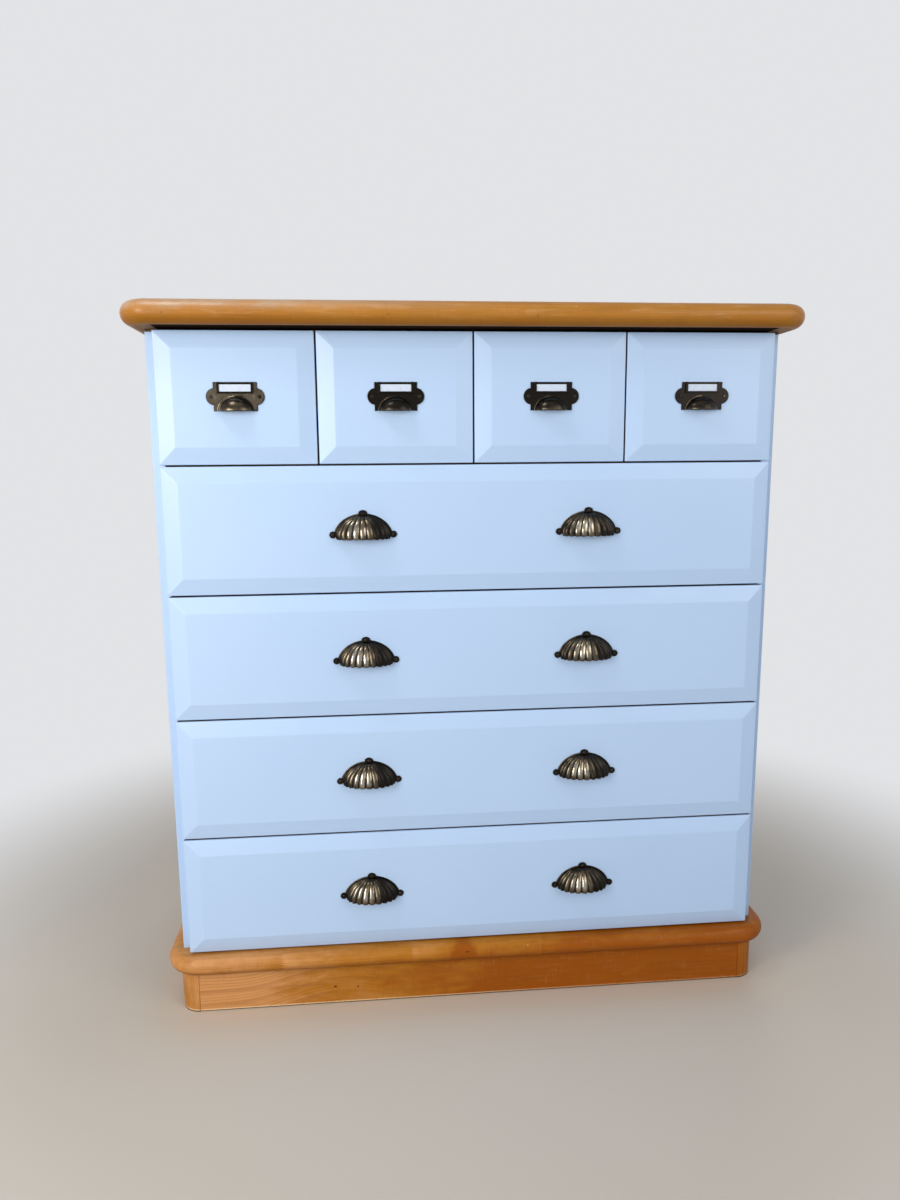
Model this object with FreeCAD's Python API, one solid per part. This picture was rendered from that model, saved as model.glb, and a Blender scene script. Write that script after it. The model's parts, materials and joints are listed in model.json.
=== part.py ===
import FreeCAD, Part
import math
import os

Vector = FreeCAD.Vector

# Chest of drawers: four small drawers over four wide ones, in a painted carcass
# between a bullnosed top board and a bullnosed base board on a plinth.
# Millimetres. +Z is up, +X is to the right, and the fronts face -Y.
# The origin is on the floor, under the centre of the top board.

# Drawer fronts
front_row_width = 886.0
front_height = 183.0
front_gap = 2.5
front_rim_thickness = 19.0
front_bevel_width = 24.0
front_bevel_depth = 6.0
front_seat_gap = 0.5
wide_row_count = 4
small_drawer_count = 4

# Carcass
side_reveal = 14.0
side_thickness = 18.0
carcass_depth = 395.0
shelf_thickness = 18.0
partition_thickness = 18.0
rail_thickness = 18.0
rail_depth = 60.0
back_panel_thickness = 4.0
back_rebate_width = 9.0
back_panel_play = 0.2

# Top board
top_thickness = 33.0
top_side_overhang = 25.5
top_front_overhang = 39.0
top_back_overhang = 6.0
top_corner_radius = 41.0
top_gap = 3.5

# Base board, a bullnosed slab that the carcass stands on
base_thickness = 29.0
base_side_overhang = 24.0
base_front_overhang = 21.0
base_corner_radius = 54.0
base_gap = 3.0

# Plinth
plinth_height = 67.0
plinth_setback = 19.0
plinth_corner_radius = 30.0
plinth_rail_thickness = 22.0
plinth_back_inset = 15.0
plinth_rail_dowel_count = 5
plinth_side_dowel_count = 3
plinth_dowel_spacing = 26.0

# Flat left in the middle of a full bullnose, so that its two roundings don't meet
nose_flat = 0.1

# Drawer boxes
box_side_thickness = 15.0
box_back_thickness = 12.0
box_back_inset = 10.0
box_back_housing = 5.0
box_back_room = 16.0
box_joint_play = 0.1
front_dovetail_depth = 8.0
front_dovetail_neck = 8.0
front_dovetail_tail = 12.0
wide_box_side_play = 2.0
wide_box_footroom = 4.0
wide_box_headroom = 17.0
small_box_side_play = 1.5
small_box_floor_play = 0.3
small_box_headroom = 8.0
bottom_thickness = 5.0
bottom_rise = 10.0
bottom_groove_depth = 6.0
bottom_groove_play = 0.1

# Runners of the wide drawers
runner_height = 16.0
runner_engagement = 8.0
runner_rise = 60.0
runner_roof_play = 0.3
runner_floor_play = 0.7
runner_tip_play = 0.8
runner_front_inset = 8.0
runner_back_inset = 6.0

# Screws that hold the runners
runner_screw_count = 3
runner_screw_shank = 4.0
runner_screw_head = 8.0
runner_screw_grip = 12.0
runner_screw_inset = 45.0

# Dowels that join the carcass boards
dowel_diameter = 8.0
dowel_depth = 12.0
dowel_edge_inset = 45.0
dowels_per_joint = 3
rail_dowel_spacing = 30.0

# Pins that hold the back panel
pin_shank = 1.6
pin_head = 4.0
pin_head_thickness = 0.8
pin_length = 16.0
pin_rows = 6
pin_end_inset = 40.0

# Play round every screw, dowel and pin
fastener_play = 0.1

# Shell pulls, two on each wide front
shell_spacing = 330.0
shell_shift = 3.4
shell_rim_drop = 13.6
shell_half_width = 41.0
shell_projection = 23.5
shell_height = 34.5
shell_wall = 1.7
shell_lobes = 11
shell_lobe_depth = 0.08
shell_crown_angle = 80.0
shell_sections = 6
shell_flange_width = 2.6
shell_flange_thickness = 1.3
shell_lug_radius = 5.0
shell_lug_thickness = 2.2
shell_lug_reach = 43.5
shell_lug_rise = 6.8
shell_top_lug_rise = 37.0

# Label pulls, one on each small front
label_rise = 1.5
label_plate_width = 60.0
label_plate_height = 39.6
label_plate_thickness = 1.5
label_ear_radius = 11.6
label_ear_reach = 40.0
label_screw_reach = 33.0
label_frame_width = 50.0
label_frame_height = 15.7
label_frame_lip = 3.3
label_frame_sill = 2.7
label_lip_thickness = 1.1
label_slot_depth = 1.0
label_slot_cover = 1.6
label_cup_half_width = 23.2
label_cup_radius = 19.0
label_cup_wall = 1.5
label_arc_width = 2.0
label_arc_thickness = 3.0

# Card that slides into the label frame from above
card_thickness = 0.5
card_play = 0.2
card_top_gap = 3.4

# Screws that hold the pulls
pull_screw_shank = 2.6
pull_screw_head = 5.4
pull_screw_head_height = 1.3
pull_screw_length = 14.0
pull_screw_slot_width = 0.7
pull_screw_slot_depth = 0.6

# Heights, from the floor up
base_bottom_z = plinth_height
base_top_z = base_bottom_z + base_thickness
first_front_z = base_top_z + base_gap
row_pitch = front_height + front_gap
small_row_z = first_front_z + wide_row_count * row_pitch
top_bottom_z = small_row_z + front_height + top_gap
top_z = top_bottom_z + top_thickness
shelf_bottom_z = small_row_z - front_gap / 2 - shelf_thickness / 2
shelf_top_z = shelf_bottom_z + shelf_thickness

# Depths, from the nose of the top board back
top_depth = top_front_overhang + front_rim_thickness + front_seat_gap + carcass_depth + top_back_overhang
nose_y = -top_depth / 2
rim_y = nose_y + top_front_overhang
field_y = rim_y - front_bevel_depth
front_back_y = rim_y + front_rim_thickness
carcass_front_y = front_back_y + front_seat_gap
carcass_back_y = carcass_front_y + carcass_depth
back_panel_y = carcass_back_y - back_panel_thickness
box_end_y = back_panel_y - box_back_room
box_back_y = box_end_y - box_back_inset
base_nose_y = rim_y - base_front_overhang
plinth_front_y = base_nose_y + plinth_setback
plinth_back_y = carcass_back_y - plinth_back_inset

# Widths, from the centre out
carcass_half_width = front_row_width / 2 + side_reveal
inner_half_width = carcass_half_width - side_thickness
top_half_length = carcass_half_width + top_side_overhang
base_half_length = carcass_half_width + base_side_overhang
plinth_half_length = base_half_length - plinth_setback
small_front_width = (front_row_width - (small_drawer_count - 1) * front_gap) / small_drawer_count
small_front_pitch = small_front_width + front_gap

wide_box_height = row_pitch - rail_thickness - wide_box_footroom - wide_box_headroom
wide_box_offset = rail_thickness / 2 - front_gap / 2 + wide_box_footroom
runner_reach = wide_box_side_play + runner_engagement


# Plain shapes

def block(x_low, x_high, y_low, y_high, z_low, z_high):
    """A board between two corners."""
    corner = Vector(x_low, y_low, z_low)
    return Part.makeBox(x_high - x_low, y_high - y_low, z_high - z_low, corner)


def rod(diameter, start, end):
    """A round bar from one point to another."""
    return Part.makeCylinder(diameter / 2, (end - start).Length, start, end - start)


def rectangle(x_low, x_high, y, z_low, z_high):
    """A closed upright rectangle at one depth."""
    corners = [
        Vector(x_low, y, z_low),
        Vector(x_high, y, z_low),
        Vector(x_high, y, z_high),
        Vector(x_low, y, z_high),
    ]
    return Part.makePolygon(corners + [corners[0]])


def spread(low, high, count):
    """Evenly spaced places from low to high, ends included."""
    step = (high - low) / (count - 1)
    return [low + step * index for index in range(count)]


def cut_all(solid, cutters):
    """The solid without each cutter that reaches its box."""
    near = [cutter for cutter in cutters if cutter.BoundBox.intersect(solid.BoundBox)]
    if near:
        solid = solid.cut(near)
    return solid


# Fasteners

def dowel(middle, direction):
    """A dowel and the hole for it, half in each of two boards."""
    half = direction * dowel_depth
    end_play = direction * fastener_play
    pin = rod(dowel_diameter, middle - half, middle + half)
    hole_diameter = dowel_diameter + 2 * fastener_play
    hole = rod(hole_diameter, middle - half - end_play, middle + half + end_play)
    return pin, hole


def countersunk_screw(head_centre, direction, length, play):
    """A countersunk screw, or with some play the hole for it."""
    shank_radius = runner_screw_shank / 2 + play
    head_radius = runner_screw_head / 2 + play
    head_height = head_radius - shank_radius
    head = Part.makeCone(head_radius, shank_radius, head_height, head_centre, direction)
    shank = Part.makeCylinder(shank_radius, length + play, head_centre, direction)
    return head.fuse(shank).removeSplitter()


def round_head_screw(seat_centre):
    """A slotted round-head screw driven straight back, its head on the seat."""
    head_radius = pull_screw_head / 2
    sphere_radius = (head_radius ** 2 + pull_screw_head_height ** 2) / (2 * pull_screw_head_height)
    ball_centre = seat_centre + Vector(0, sphere_radius - pull_screw_head_height, 0)
    ball = Part.makeSphere(sphere_radius, ball_centre)
    front = Vector(seat_centre.x, seat_centre.y - pull_screw_head_height, seat_centre.z)
    head = ball.common(rod(2 * sphere_radius, front, seat_centre))
    shank = rod(pull_screw_shank, seat_centre, seat_centre + Vector(0, pull_screw_length, 0))
    slot = block(
        seat_centre.x - head_radius,
        seat_centre.x + head_radius,
        front.y,
        front.y + pull_screw_slot_depth,
        seat_centre.z - pull_screw_slot_width / 2,
        seat_centre.z + pull_screw_slot_width / 2,
    )
    return head.fuse(shank).removeSplitter().cut(slot)


def round_head_hole(seat_centre):
    """The hole that takes a pull screw, through the pull and into the front."""
    hole_depth = pull_screw_length + fastener_play
    end = seat_centre + Vector(0, hole_depth, 0)
    return rod(pull_screw_shank + 2 * fastener_play, seat_centre, end)


def back_pin(head_back, direction):
    """A pin through the back panel, its head on the panel's rear face."""
    head = rod(pin_head, head_back, head_back - direction * pin_head_thickness)
    shank = rod(pin_shank, head_back, head_back + direction * pin_length)
    return head.fuse(shank).removeSplitter()


def back_pin_hole(head_back, direction):
    """The hole that a back pin makes."""
    end = head_back + direction * (pin_length + fastener_play)
    return rod(pin_shank + 2 * fastener_play, head_back, end)


# Places of the fasteners

board_dowel_depths = spread(
    carcass_front_y + dowel_edge_inset,
    back_panel_y - dowel_edge_inset,
    dowels_per_joint,
)
partition_places = [
    -front_row_width / 2 + index * small_front_pitch - front_gap / 2
    for index in range(1, small_drawer_count)
]
rail_middle_y = carcass_front_y + rail_depth / 2
rail_dowel_depths = [rail_middle_y - rail_dowel_spacing / 2, rail_middle_y + rail_dowel_spacing / 2]
rail_middle_levels = [
    first_front_z + index * row_pitch - front_gap / 2
    for index in range(1, wide_row_count)
]
shelf_middle_z = shelf_bottom_z + shelf_thickness / 2
side_middle_x = carcass_half_width - side_thickness / 2
plinth_middle_x = plinth_half_length - plinth_rail_thickness / 2
plinth_corner_x = plinth_half_length - plinth_corner_radius
plinth_corner_y = plinth_front_y + plinth_corner_radius
plinth_front_middle_y = plinth_front_y + plinth_rail_thickness / 2
plinth_back_middle_y = plinth_back_y - plinth_rail_thickness / 2
plinth_dowel_levels = [
    plinth_height / 2 - plinth_dowel_spacing / 2,
    plinth_height / 2 + plinth_dowel_spacing / 2,
]

upright = Vector(0, 0, 1)
across = Vector(1, 0, 0)
forward = Vector(0, -1, 0)

dowel_pairs = []
for depth in board_dowel_depths:
    for side in (-1, 1):
        dowel_pairs.append(dowel(Vector(side * side_middle_x, depth, base_top_z), upright))
        dowel_pairs.append(dowel(Vector(side * side_middle_x, depth, top_bottom_z), upright))
        dowel_pairs.append(dowel(Vector(side * inner_half_width, depth, shelf_middle_z), across))
    for place in partition_places:
        dowel_pairs.append(dowel(Vector(place, depth, shelf_top_z), upright))
        dowel_pairs.append(dowel(Vector(place, depth, top_bottom_z), upright))
for level in rail_middle_levels:
    for depth in rail_dowel_depths:
        for side in (-1, 1):
            dowel_pairs.append(dowel(Vector(side * inner_half_width, depth, level), across))
for middle_y in (plinth_front_middle_y, plinth_back_middle_y):
    end_x = plinth_corner_x - dowel_edge_inset
    for place in spread(-end_x, end_x, plinth_rail_dowel_count):
        dowel_pairs.append(dowel(Vector(place, middle_y, plinth_height), upright))
for side in (-1, 1):
    for depth in spread(
        plinth_corner_y + dowel_edge_inset,
        plinth_back_y - dowel_edge_inset,
        plinth_side_dowel_count,
    ):
        dowel_pairs.append(dowel(Vector(side * plinth_middle_x, depth, plinth_height), upright))
    for level in plinth_dowel_levels:
        rail_end_x = side * (plinth_half_length - plinth_rail_thickness)
        dowel_pairs.append(dowel(Vector(side * plinth_corner_x, plinth_front_middle_y, level), across))
        dowel_pairs.append(dowel(Vector(side * plinth_middle_x, plinth_corner_y, level), forward))
        dowel_pairs.append(dowel(Vector(rail_end_x, plinth_back_middle_y, level), across))
dowels = [pair[0] for pair in dowel_pairs]
dowel_holes = [pair[1] for pair in dowel_pairs]

runner_levels = [
    first_front_z + index * row_pitch + wide_box_offset + runner_rise
    for index in range(wide_row_count)
]
runner_front_y = carcass_front_y + runner_front_inset
runner_back_y = back_panel_y - runner_back_inset
runner_screws = []
runner_screw_holes = []
for level in runner_levels:
    for depth in spread(
        runner_front_y + runner_screw_inset,
        runner_back_y - runner_screw_inset,
        runner_screw_count,
    ):
        for side in (-1, 1):
            head_x = side * (inner_half_width - runner_reach)
            head = Vector(head_x, depth, level + runner_height / 2)
            length = runner_reach + runner_screw_grip
            runner_screws.append(countersunk_screw(head, across * side, length, 0))
            runner_screw_holes.append(countersunk_screw(head, across * side, length, fastener_play))

back_pins = []
back_pin_holes = []
pin_places = []
for level in spread(base_top_z + pin_end_inset, top_bottom_z - pin_end_inset, pin_rows):
    for side in (-1, 1):
        pin_places.append(Vector(side * (inner_half_width + back_rebate_width / 2), carcass_back_y, level))
for place in [-inner_half_width / 2, 0, inner_half_width / 2]:
    pin_places.append(Vector(place, carcass_back_y, shelf_middle_z))
for place in pin_places:
    back_pins.append(back_pin(place, forward))
    back_pin_holes.append(back_pin_hole(place, forward))

carcass_holes = dowel_holes + runner_screw_holes + back_pin_holes


# Top board and base board

def bullnose_board(half_length, front_y, back_y, bottom_z, thickness, corner_radius):
    """A slab with rounded front corners and a full bullnose on three edges."""
    radius = corner_radius
    inset = radius * (1 - math.sqrt(0.5))
    back_left = Vector(-half_length, back_y, bottom_z)
    side_left = Vector(-half_length, front_y + radius, bottom_z)
    corner_left = Vector(-half_length + inset, front_y + inset, bottom_z)
    front_left = Vector(-half_length + radius, front_y, bottom_z)
    front_right = Vector(half_length - radius, front_y, bottom_z)
    corner_right = Vector(half_length - inset, front_y + inset, bottom_z)
    side_right = Vector(half_length, front_y + radius, bottom_z)
    back_right = Vector(half_length, back_y, bottom_z)
    outline = Part.Wire([
        Part.LineSegment(back_left, side_left).toShape(),
        Part.Arc(side_left, corner_left, front_left).toShape(),
        Part.LineSegment(front_left, front_right).toShape(),
        Part.Arc(front_right, corner_right, side_right).toShape(),
        Part.LineSegment(side_right, back_right).toShape(),
        Part.LineSegment(back_right, back_left).toShape(),
    ])
    slab = Part.Face(outline).extrude(Vector(0, 0, thickness))
    nose_edges = []
    for edge in slab.Edges:
        bounds = edge.BoundBox
        is_level = bounds.ZLength < thickness / 2
        is_back = bounds.YMin > back_y - nose_flat
        if is_level and not is_back:
            nose_edges.append(edge)
    return slab.makeFillet((thickness - nose_flat) / 2, nose_edges)


def top_board():
    board = bullnose_board(
        top_half_length,
        nose_y,
        nose_y + top_depth,
        top_bottom_z,
        top_thickness,
        top_corner_radius,
    )
    return cut_all(board, carcass_holes)


def base_board():
    board = bullnose_board(
        base_half_length,
        base_nose_y,
        carcass_back_y,
        base_bottom_z,
        base_thickness,
        base_corner_radius,
    )
    return cut_all(board, carcass_holes)


# Plinth

def plinth_front_rail():
    rail = block(
        -plinth_corner_x,
        plinth_corner_x,
        plinth_front_y,
        plinth_front_y + plinth_rail_thickness,
        0,
        plinth_height,
    )
    return cut_all(rail, carcass_holes)


def plinth_side_rails():
    rails = []
    for side in (-1, 1):
        faces = sorted([side * plinth_half_length, side * (plinth_half_length - plinth_rail_thickness)])
        rail = block(faces[0], faces[1], plinth_corner_y, plinth_back_y, 0, plinth_height)
        rails.append(cut_all(rail, carcass_holes))
    return rails


def plinth_back_rail():
    inner = plinth_half_length - plinth_rail_thickness
    front = plinth_back_y - plinth_rail_thickness
    rail = block(-inner, inner, front, plinth_back_y, 0, plinth_height)
    return cut_all(rail, carcass_holes)


def plinth_corner_blocks():
    """Quarter-round blocks that turn the plinth's two front corners."""
    blocks = []
    for side, start_angle in ((-1, 180), (1, 270)):
        centre = Vector(side * plinth_corner_x, plinth_corner_y, 0)
        quarter = Part.makeCylinder(plinth_corner_radius, plinth_height, centre, upright, 90)
        quarter.rotate(centre, upright, start_angle)
        blocks.append(cut_all(quarter, carcass_holes))
    return blocks


# Carcass

def side_panel(side):
    """One side of the carcass, rebated at the back for the back panel."""
    faces = sorted([side * inner_half_width, side * carcass_half_width])
    panel = block(faces[0], faces[1], carcass_front_y, carcass_back_y, base_top_z, top_bottom_z)
    rebate_faces = sorted([side * inner_half_width, side * (inner_half_width + back_rebate_width)])
    rebate = block(
        rebate_faces[0],
        rebate_faces[1],
        back_panel_y,
        carcass_back_y,
        base_top_z,
        top_bottom_z,
    )
    return cut_all(panel.cut(rebate), carcass_holes)


def back_panel():
    half_width = inner_half_width + back_rebate_width - back_panel_play
    panel = block(
        -half_width,
        half_width,
        back_panel_y,
        carcass_back_y,
        base_top_z + back_panel_play,
        top_bottom_z - back_panel_play,
    )
    return cut_all(panel, carcass_holes)


def small_drawer_shelf():
    shelf = block(
        -inner_half_width,
        inner_half_width,
        carcass_front_y,
        back_panel_y,
        shelf_bottom_z,
        shelf_top_z,
    )
    return cut_all(shelf, carcass_holes)


def small_drawer_partitions():
    partitions = []
    for place in partition_places:
        partition = block(
            place - partition_thickness / 2,
            place + partition_thickness / 2,
            carcass_front_y,
            back_panel_y,
            shelf_top_z,
            top_bottom_z,
        )
        partitions.append(cut_all(partition, carcass_holes))
    return partitions


def front_rails():
    rails = []
    for level in rail_middle_levels:
        rail = block(
            -inner_half_width,
            inner_half_width,
            carcass_front_y,
            carcass_front_y + rail_depth,
            level - rail_thickness / 2,
            level + rail_thickness / 2,
        )
        rails.append(cut_all(rail, carcass_holes))
    return rails


def wide_drawer_runners():
    """Hardwood runners on the sides, one pair for each wide drawer."""
    runners = []
    for level in runner_levels:
        for side in (-1, 1):
            faces = sorted([side * inner_half_width, side * (inner_half_width - runner_reach)])
            runner = block(
                faces[0],
                faces[1],
                runner_front_y,
                runner_back_y,
                level,
                level + runner_height,
            )
            runners.append(cut_all(runner, carcass_holes))
    return runners


# Drawers

def sliding_dovetail(middle_x, low, high, play):
    """The upright dovetail at the front end of a drawer side, or with some play its housing."""
    neck = front_dovetail_neck / 2 + play
    tail = front_dovetail_tail / 2 + play
    tip_y = front_back_y - front_dovetail_depth - play
    corners = [
        Vector(middle_x - neck, front_back_y, low),
        Vector(middle_x + neck, front_back_y, low),
        Vector(middle_x + tail, tip_y, low),
        Vector(middle_x - tail, tip_y, low),
    ]
    outline = Part.makePolygon(corners + [corners[0]])
    return Part.Face(outline).extrude(Vector(0, 0, high - low))


def drawer_front(left, right, bottom, box_left, box_right, box_bottom, box_height, screw_holes):
    """A front with a wide bevel on all four edges, housed for the drawer's sides and bottom."""
    top = bottom + front_height
    rim = block(left, right, rim_y, front_back_y, bottom, top)
    bevel = Part.makeLoft([
        rectangle(left, right, rim_y, bottom, top),
        rectangle(
            left + front_bevel_width,
            right - front_bevel_width,
            field_y,
            bottom + front_bevel_width,
            top - front_bevel_width,
        ),
    ], True, True)
    front = rim.fuse(bevel).removeSplitter()
    groove_in = box_side_thickness - bottom_groove_depth
    groove = block(
        box_left + groove_in,
        box_right - groove_in,
        front_back_y - bottom_groove_depth,
        front_back_y,
        box_bottom + bottom_rise,
        box_bottom + bottom_rise + bottom_thickness + 2 * bottom_groove_play,
    )
    housings = []
    for middle_x in (box_left + box_side_thickness / 2, box_right - box_side_thickness / 2):
        housing_top = box_bottom + box_height + box_joint_play
        housings.append(sliding_dovetail(middle_x, bottom - box_joint_play, housing_top, box_joint_play))
    return cut_all(front, [groove] + housings + screw_holes)


def drawer_box(left, right, bottom, height, has_runners):
    """The two sides of a drawer box, dovetailed into its front, and the back, housed in the sides."""
    top = bottom + height
    groove_top = bottom + bottom_rise + bottom_thickness + 2 * bottom_groove_play
    back_front_y = box_back_y - box_back_thickness
    pieces = []
    for side, outer in ((-1, left), (1, right)):
        inner = outer - side * box_side_thickness
        faces = sorted([outer, inner])
        board = block(faces[0], faces[1], front_back_y, box_end_y, bottom, top)
        board = board.fuse(sliding_dovetail((outer + inner) / 2, bottom, top, 0)).removeSplitter()
        groove_faces = sorted([inner, inner + side * bottom_groove_depth])
        groove = block(
            groove_faces[0],
            groove_faces[1],
            front_back_y - front_dovetail_depth,
            box_end_y,
            bottom + bottom_rise,
            groove_top,
        )
        housing_faces = sorted([inner, inner + side * (box_back_housing + box_joint_play)])
        housing = block(
            housing_faces[0],
            housing_faces[1],
            back_front_y - box_joint_play,
            box_back_y + box_joint_play,
            groove_top,
            top,
        )
        board = board.cut([groove, housing])
        if has_runners:
            slot_faces = sorted([outer, outer - side * (runner_engagement + runner_tip_play)])
            slot = block(
                slot_faces[0],
                slot_faces[1],
                front_back_y,
                box_end_y,
                bottom + runner_rise - runner_floor_play,
                bottom + runner_rise + runner_height + runner_roof_play,
            )
            board = board.cut(slot)
        pieces.append(board)
    pieces.append(block(
        left + box_side_thickness - box_back_housing,
        right - box_side_thickness + box_back_housing,
        back_front_y,
        box_back_y,
        groove_top,
        top,
    ))
    return pieces


def drawer_bottom(left, right, bottom):
    """The panel that slides into the grooves of the front and the sides."""
    edge_in = box_side_thickness - bottom_groove_depth + bottom_groove_play
    low = bottom + bottom_rise + bottom_groove_play
    return block(
        left + edge_in,
        right - edge_in,
        front_back_y - bottom_groove_depth + bottom_groove_play,
        box_back_y,
        low,
        low + bottom_thickness,
    )


# Shell pull

def scalloped_section(half_width, projection, level):
    """A level section of the cup: a fan of round lobes, closed a wall's depth behind."""
    valley = 1 - shell_lobe_depth
    step = math.pi / shell_lobes

    def fan_point(angle, share):
        return Vector(
            -half_width * share * math.cos(angle),
            -projection * share * math.sin(angle),
            level,
        )

    edges = []
    for lobe in range(shell_lobes):
        start = fan_point(lobe * step, valley)
        crown = fan_point((lobe + 0.5) * step, 1)
        end = fan_point((lobe + 1) * step, valley)
        edges.append(Part.Arc(start, crown, end).toShape())
    first = fan_point(0, valley)
    last = fan_point(math.pi, valley)
    back_left = Vector(first.x, shell_wall, level)
    back_right = Vector(last.x, shell_wall, level)
    edges.append(Part.LineSegment(last, back_right).toShape())
    edges.append(Part.LineSegment(back_right, back_left).toShape())
    edges.append(Part.LineSegment(back_left, first).toShape())
    return Part.Wire(edges)


def scalloped_dome(half_width, projection, height):
    """A quarter dome whose lobes run together at its top."""
    sections = []
    for angle in spread(0, math.radians(shell_crown_angle), shell_sections):
        sections.append(scalloped_section(
            half_width * math.cos(angle),
            projection * math.cos(angle),
            height * math.sin(angle),
        ))
    return Part.makeLoft(sections, True, False)


def half_ellipse_plate(half_width, height, thickness):
    """A flat upright half ellipse that lies against the front."""
    if half_width >= height:
        ellipse = Part.Ellipse(Vector(0, 0, 0), half_width, height)
        arc = Part.ArcOfEllipse(ellipse, 0, math.pi).toShape()
    else:
        ellipse = Part.Ellipse(Vector(0, height, 0), Vector(half_width, 0, 0), Vector(0, 0, 0))
        arc = Part.ArcOfEllipse(ellipse, -math.pi / 2, math.pi / 2).toShape()
    ends = [arc.Vertexes[0].Point, arc.Vertexes[-1].Point]
    outline = Part.Wire([arc, Part.LineSegment(ends[1], ends[0]).toShape()])
    plate = Part.Face(outline).extrude(Vector(0, 0, thickness))
    plate.rotate(Vector(0, 0, 0), Vector(1, 0, 0), 90)
    return plate


shell_lug_centres = [
    Vector(-shell_lug_reach, 0, shell_lug_rise),
    Vector(shell_lug_reach, 0, shell_lug_rise),
    Vector(0, 0, shell_top_lug_rise),
]


def shell_pull():
    """A fluted cup pull with a thin flange and three screw lugs."""
    cup = scalloped_dome(shell_half_width, shell_projection, shell_height)
    hollow = scalloped_dome(
        shell_half_width - shell_wall,
        shell_projection - shell_wall,
        shell_height - shell_wall,
    )
    cup = cup.cut(block(-shell_half_width, shell_half_width, 0, shell_wall, 0, shell_height))
    opening = half_ellipse_plate(
        (shell_half_width - shell_wall) * (1 - shell_lobe_depth),
        shell_height - shell_wall,
        shell_flange_thickness,
    )
    flange = half_ellipse_plate(
        shell_half_width + shell_flange_width,
        shell_height + shell_flange_width,
        shell_flange_thickness,
    )
    under_lugs = block(
        -flange.BoundBox.XMax,
        flange.BoundBox.XMax,
        -shell_flange_thickness,
        0,
        0,
        shell_lug_rise,
    )
    pull = cup.fuse(flange.cut(under_lugs))
    for centre in shell_lug_centres:
        face = centre + forward * shell_lug_thickness
        pull = pull.fuse(rod(2 * shell_lug_radius, centre, face))
    pull = pull.cut(hollow).cut(opening)
    for centre in shell_lug_centres:
        seat = centre + forward * shell_lug_thickness
        pull = pull.cut(rod(pull_screw_shank + 2 * fastener_play, seat, centre))
    return pull.removeSplitter()


# Label pull

def quarter_dome(half_width, radius):
    """A smooth cup: half of a spheroid that is long across the front."""
    ellipse = Part.Ellipse(Vector(0, 0, 0), half_width, radius)
    arc = Part.ArcOfEllipse(ellipse, 0, math.pi).toShape()
    ends = [arc.Vertexes[0].Point, arc.Vertexes[-1].Point]
    outline = Part.Wire([arc, Part.LineSegment(ends[1], ends[0]).toShape()])
    half_face = Part.Face(outline)
    quarter = half_face.revolve(Vector(0, 0, 0), Vector(1, 0, 0), 90)
    quarter.rotate(Vector(0, 0, 0), Vector(1, 0, 0), 90)
    if quarter.BoundBox.ZMin < -radius / 2:
        quarter.rotate(Vector(0, 0, 0), Vector(1, 0, 0), -90)
    return quarter


def label_pull():
    """A plate with two ears, a label frame that is open at the top, and a cup under it."""
    low = -label_plate_height / 2
    high = label_plate_height / 2
    plate_front = -label_plate_thickness
    half_plate = label_plate_width / 2
    plate = block(-half_plate, half_plate, plate_front, 0, low, high)
    for side in (-1, 1):
        ear = Vector(side * (label_ear_reach - label_ear_radius), 0, 0)
        plate = plate.fuse(rod(2 * label_ear_radius, ear, ear + forward * label_plate_thickness))

    half_frame = label_frame_width / 2
    frame_front = plate_front - label_slot_depth - label_lip_thickness
    frame_low = high - label_frame_height
    frame = block(-half_frame, half_frame, frame_front, plate_front, frame_low, high)
    half_window = half_frame - label_frame_lip
    window_low = frame_low + label_frame_sill
    window = block(-half_window, half_window, frame_front, plate_front, window_low, high)
    slot = block(
        -half_window - label_slot_cover,
        half_window + label_slot_cover,
        plate_front - label_slot_depth,
        plate_front,
        window_low - label_slot_cover,
        high,
    )
    frame = frame.cut(window).cut(slot)

    arc_half_width = label_cup_half_width + label_arc_width
    arc_height = label_cup_radius + label_arc_width
    arc = half_ellipse_plate(arc_half_width, arc_height, label_arc_thickness)
    cup = quarter_dome(label_cup_half_width, label_cup_radius).fuse(arc)
    cup = cup.cut(quarter_dome(label_cup_half_width - label_cup_wall, label_cup_radius - label_cup_wall))
    cup.translate(Vector(0, 0, low))

    pull = plate.fuse([frame, cup])
    for side in (-1, 1):
        centre = Vector(side * label_screw_reach, 0, 0)
        seat = centre + forward * label_plate_thickness
        pull = pull.cut(rod(pull_screw_shank + 2 * fastener_play, seat, centre))
    return pull.removeSplitter()


def label_card():
    """The blank card in the label frame."""
    half_width = label_frame_width / 2 - label_frame_lip + label_slot_cover - card_play
    plate_front = -label_plate_thickness
    low = label_plate_height / 2 - label_frame_height + label_frame_sill - label_slot_cover + card_play
    high = label_plate_height / 2 - card_top_gap
    back = plate_front - card_play
    return block(-half_width, half_width, back - card_thickness, back, low, high)


# Export

def moved(shape, place):
    copy = shape.copy()
    copy.translate(place)
    return copy


def export(name, pieces):
    """Write one node, and print how many solids it has and their volume."""
    if not isinstance(pieces, list):
        pieces = [pieces]
    solids = [solid for piece in pieces for solid in piece.Solids]
    for solid in solids:
        if not solid.isValid():
            print("not valid:", name)
    shape = solids[0] if len(solids) == 1 else Part.makeCompound(solids)
    shape.exportStep(os.path.join("parts", name + ".step"))
    print(name, len(solids), "solids", round(sum(solid.Volume for solid in solids)), "mm3")


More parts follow.
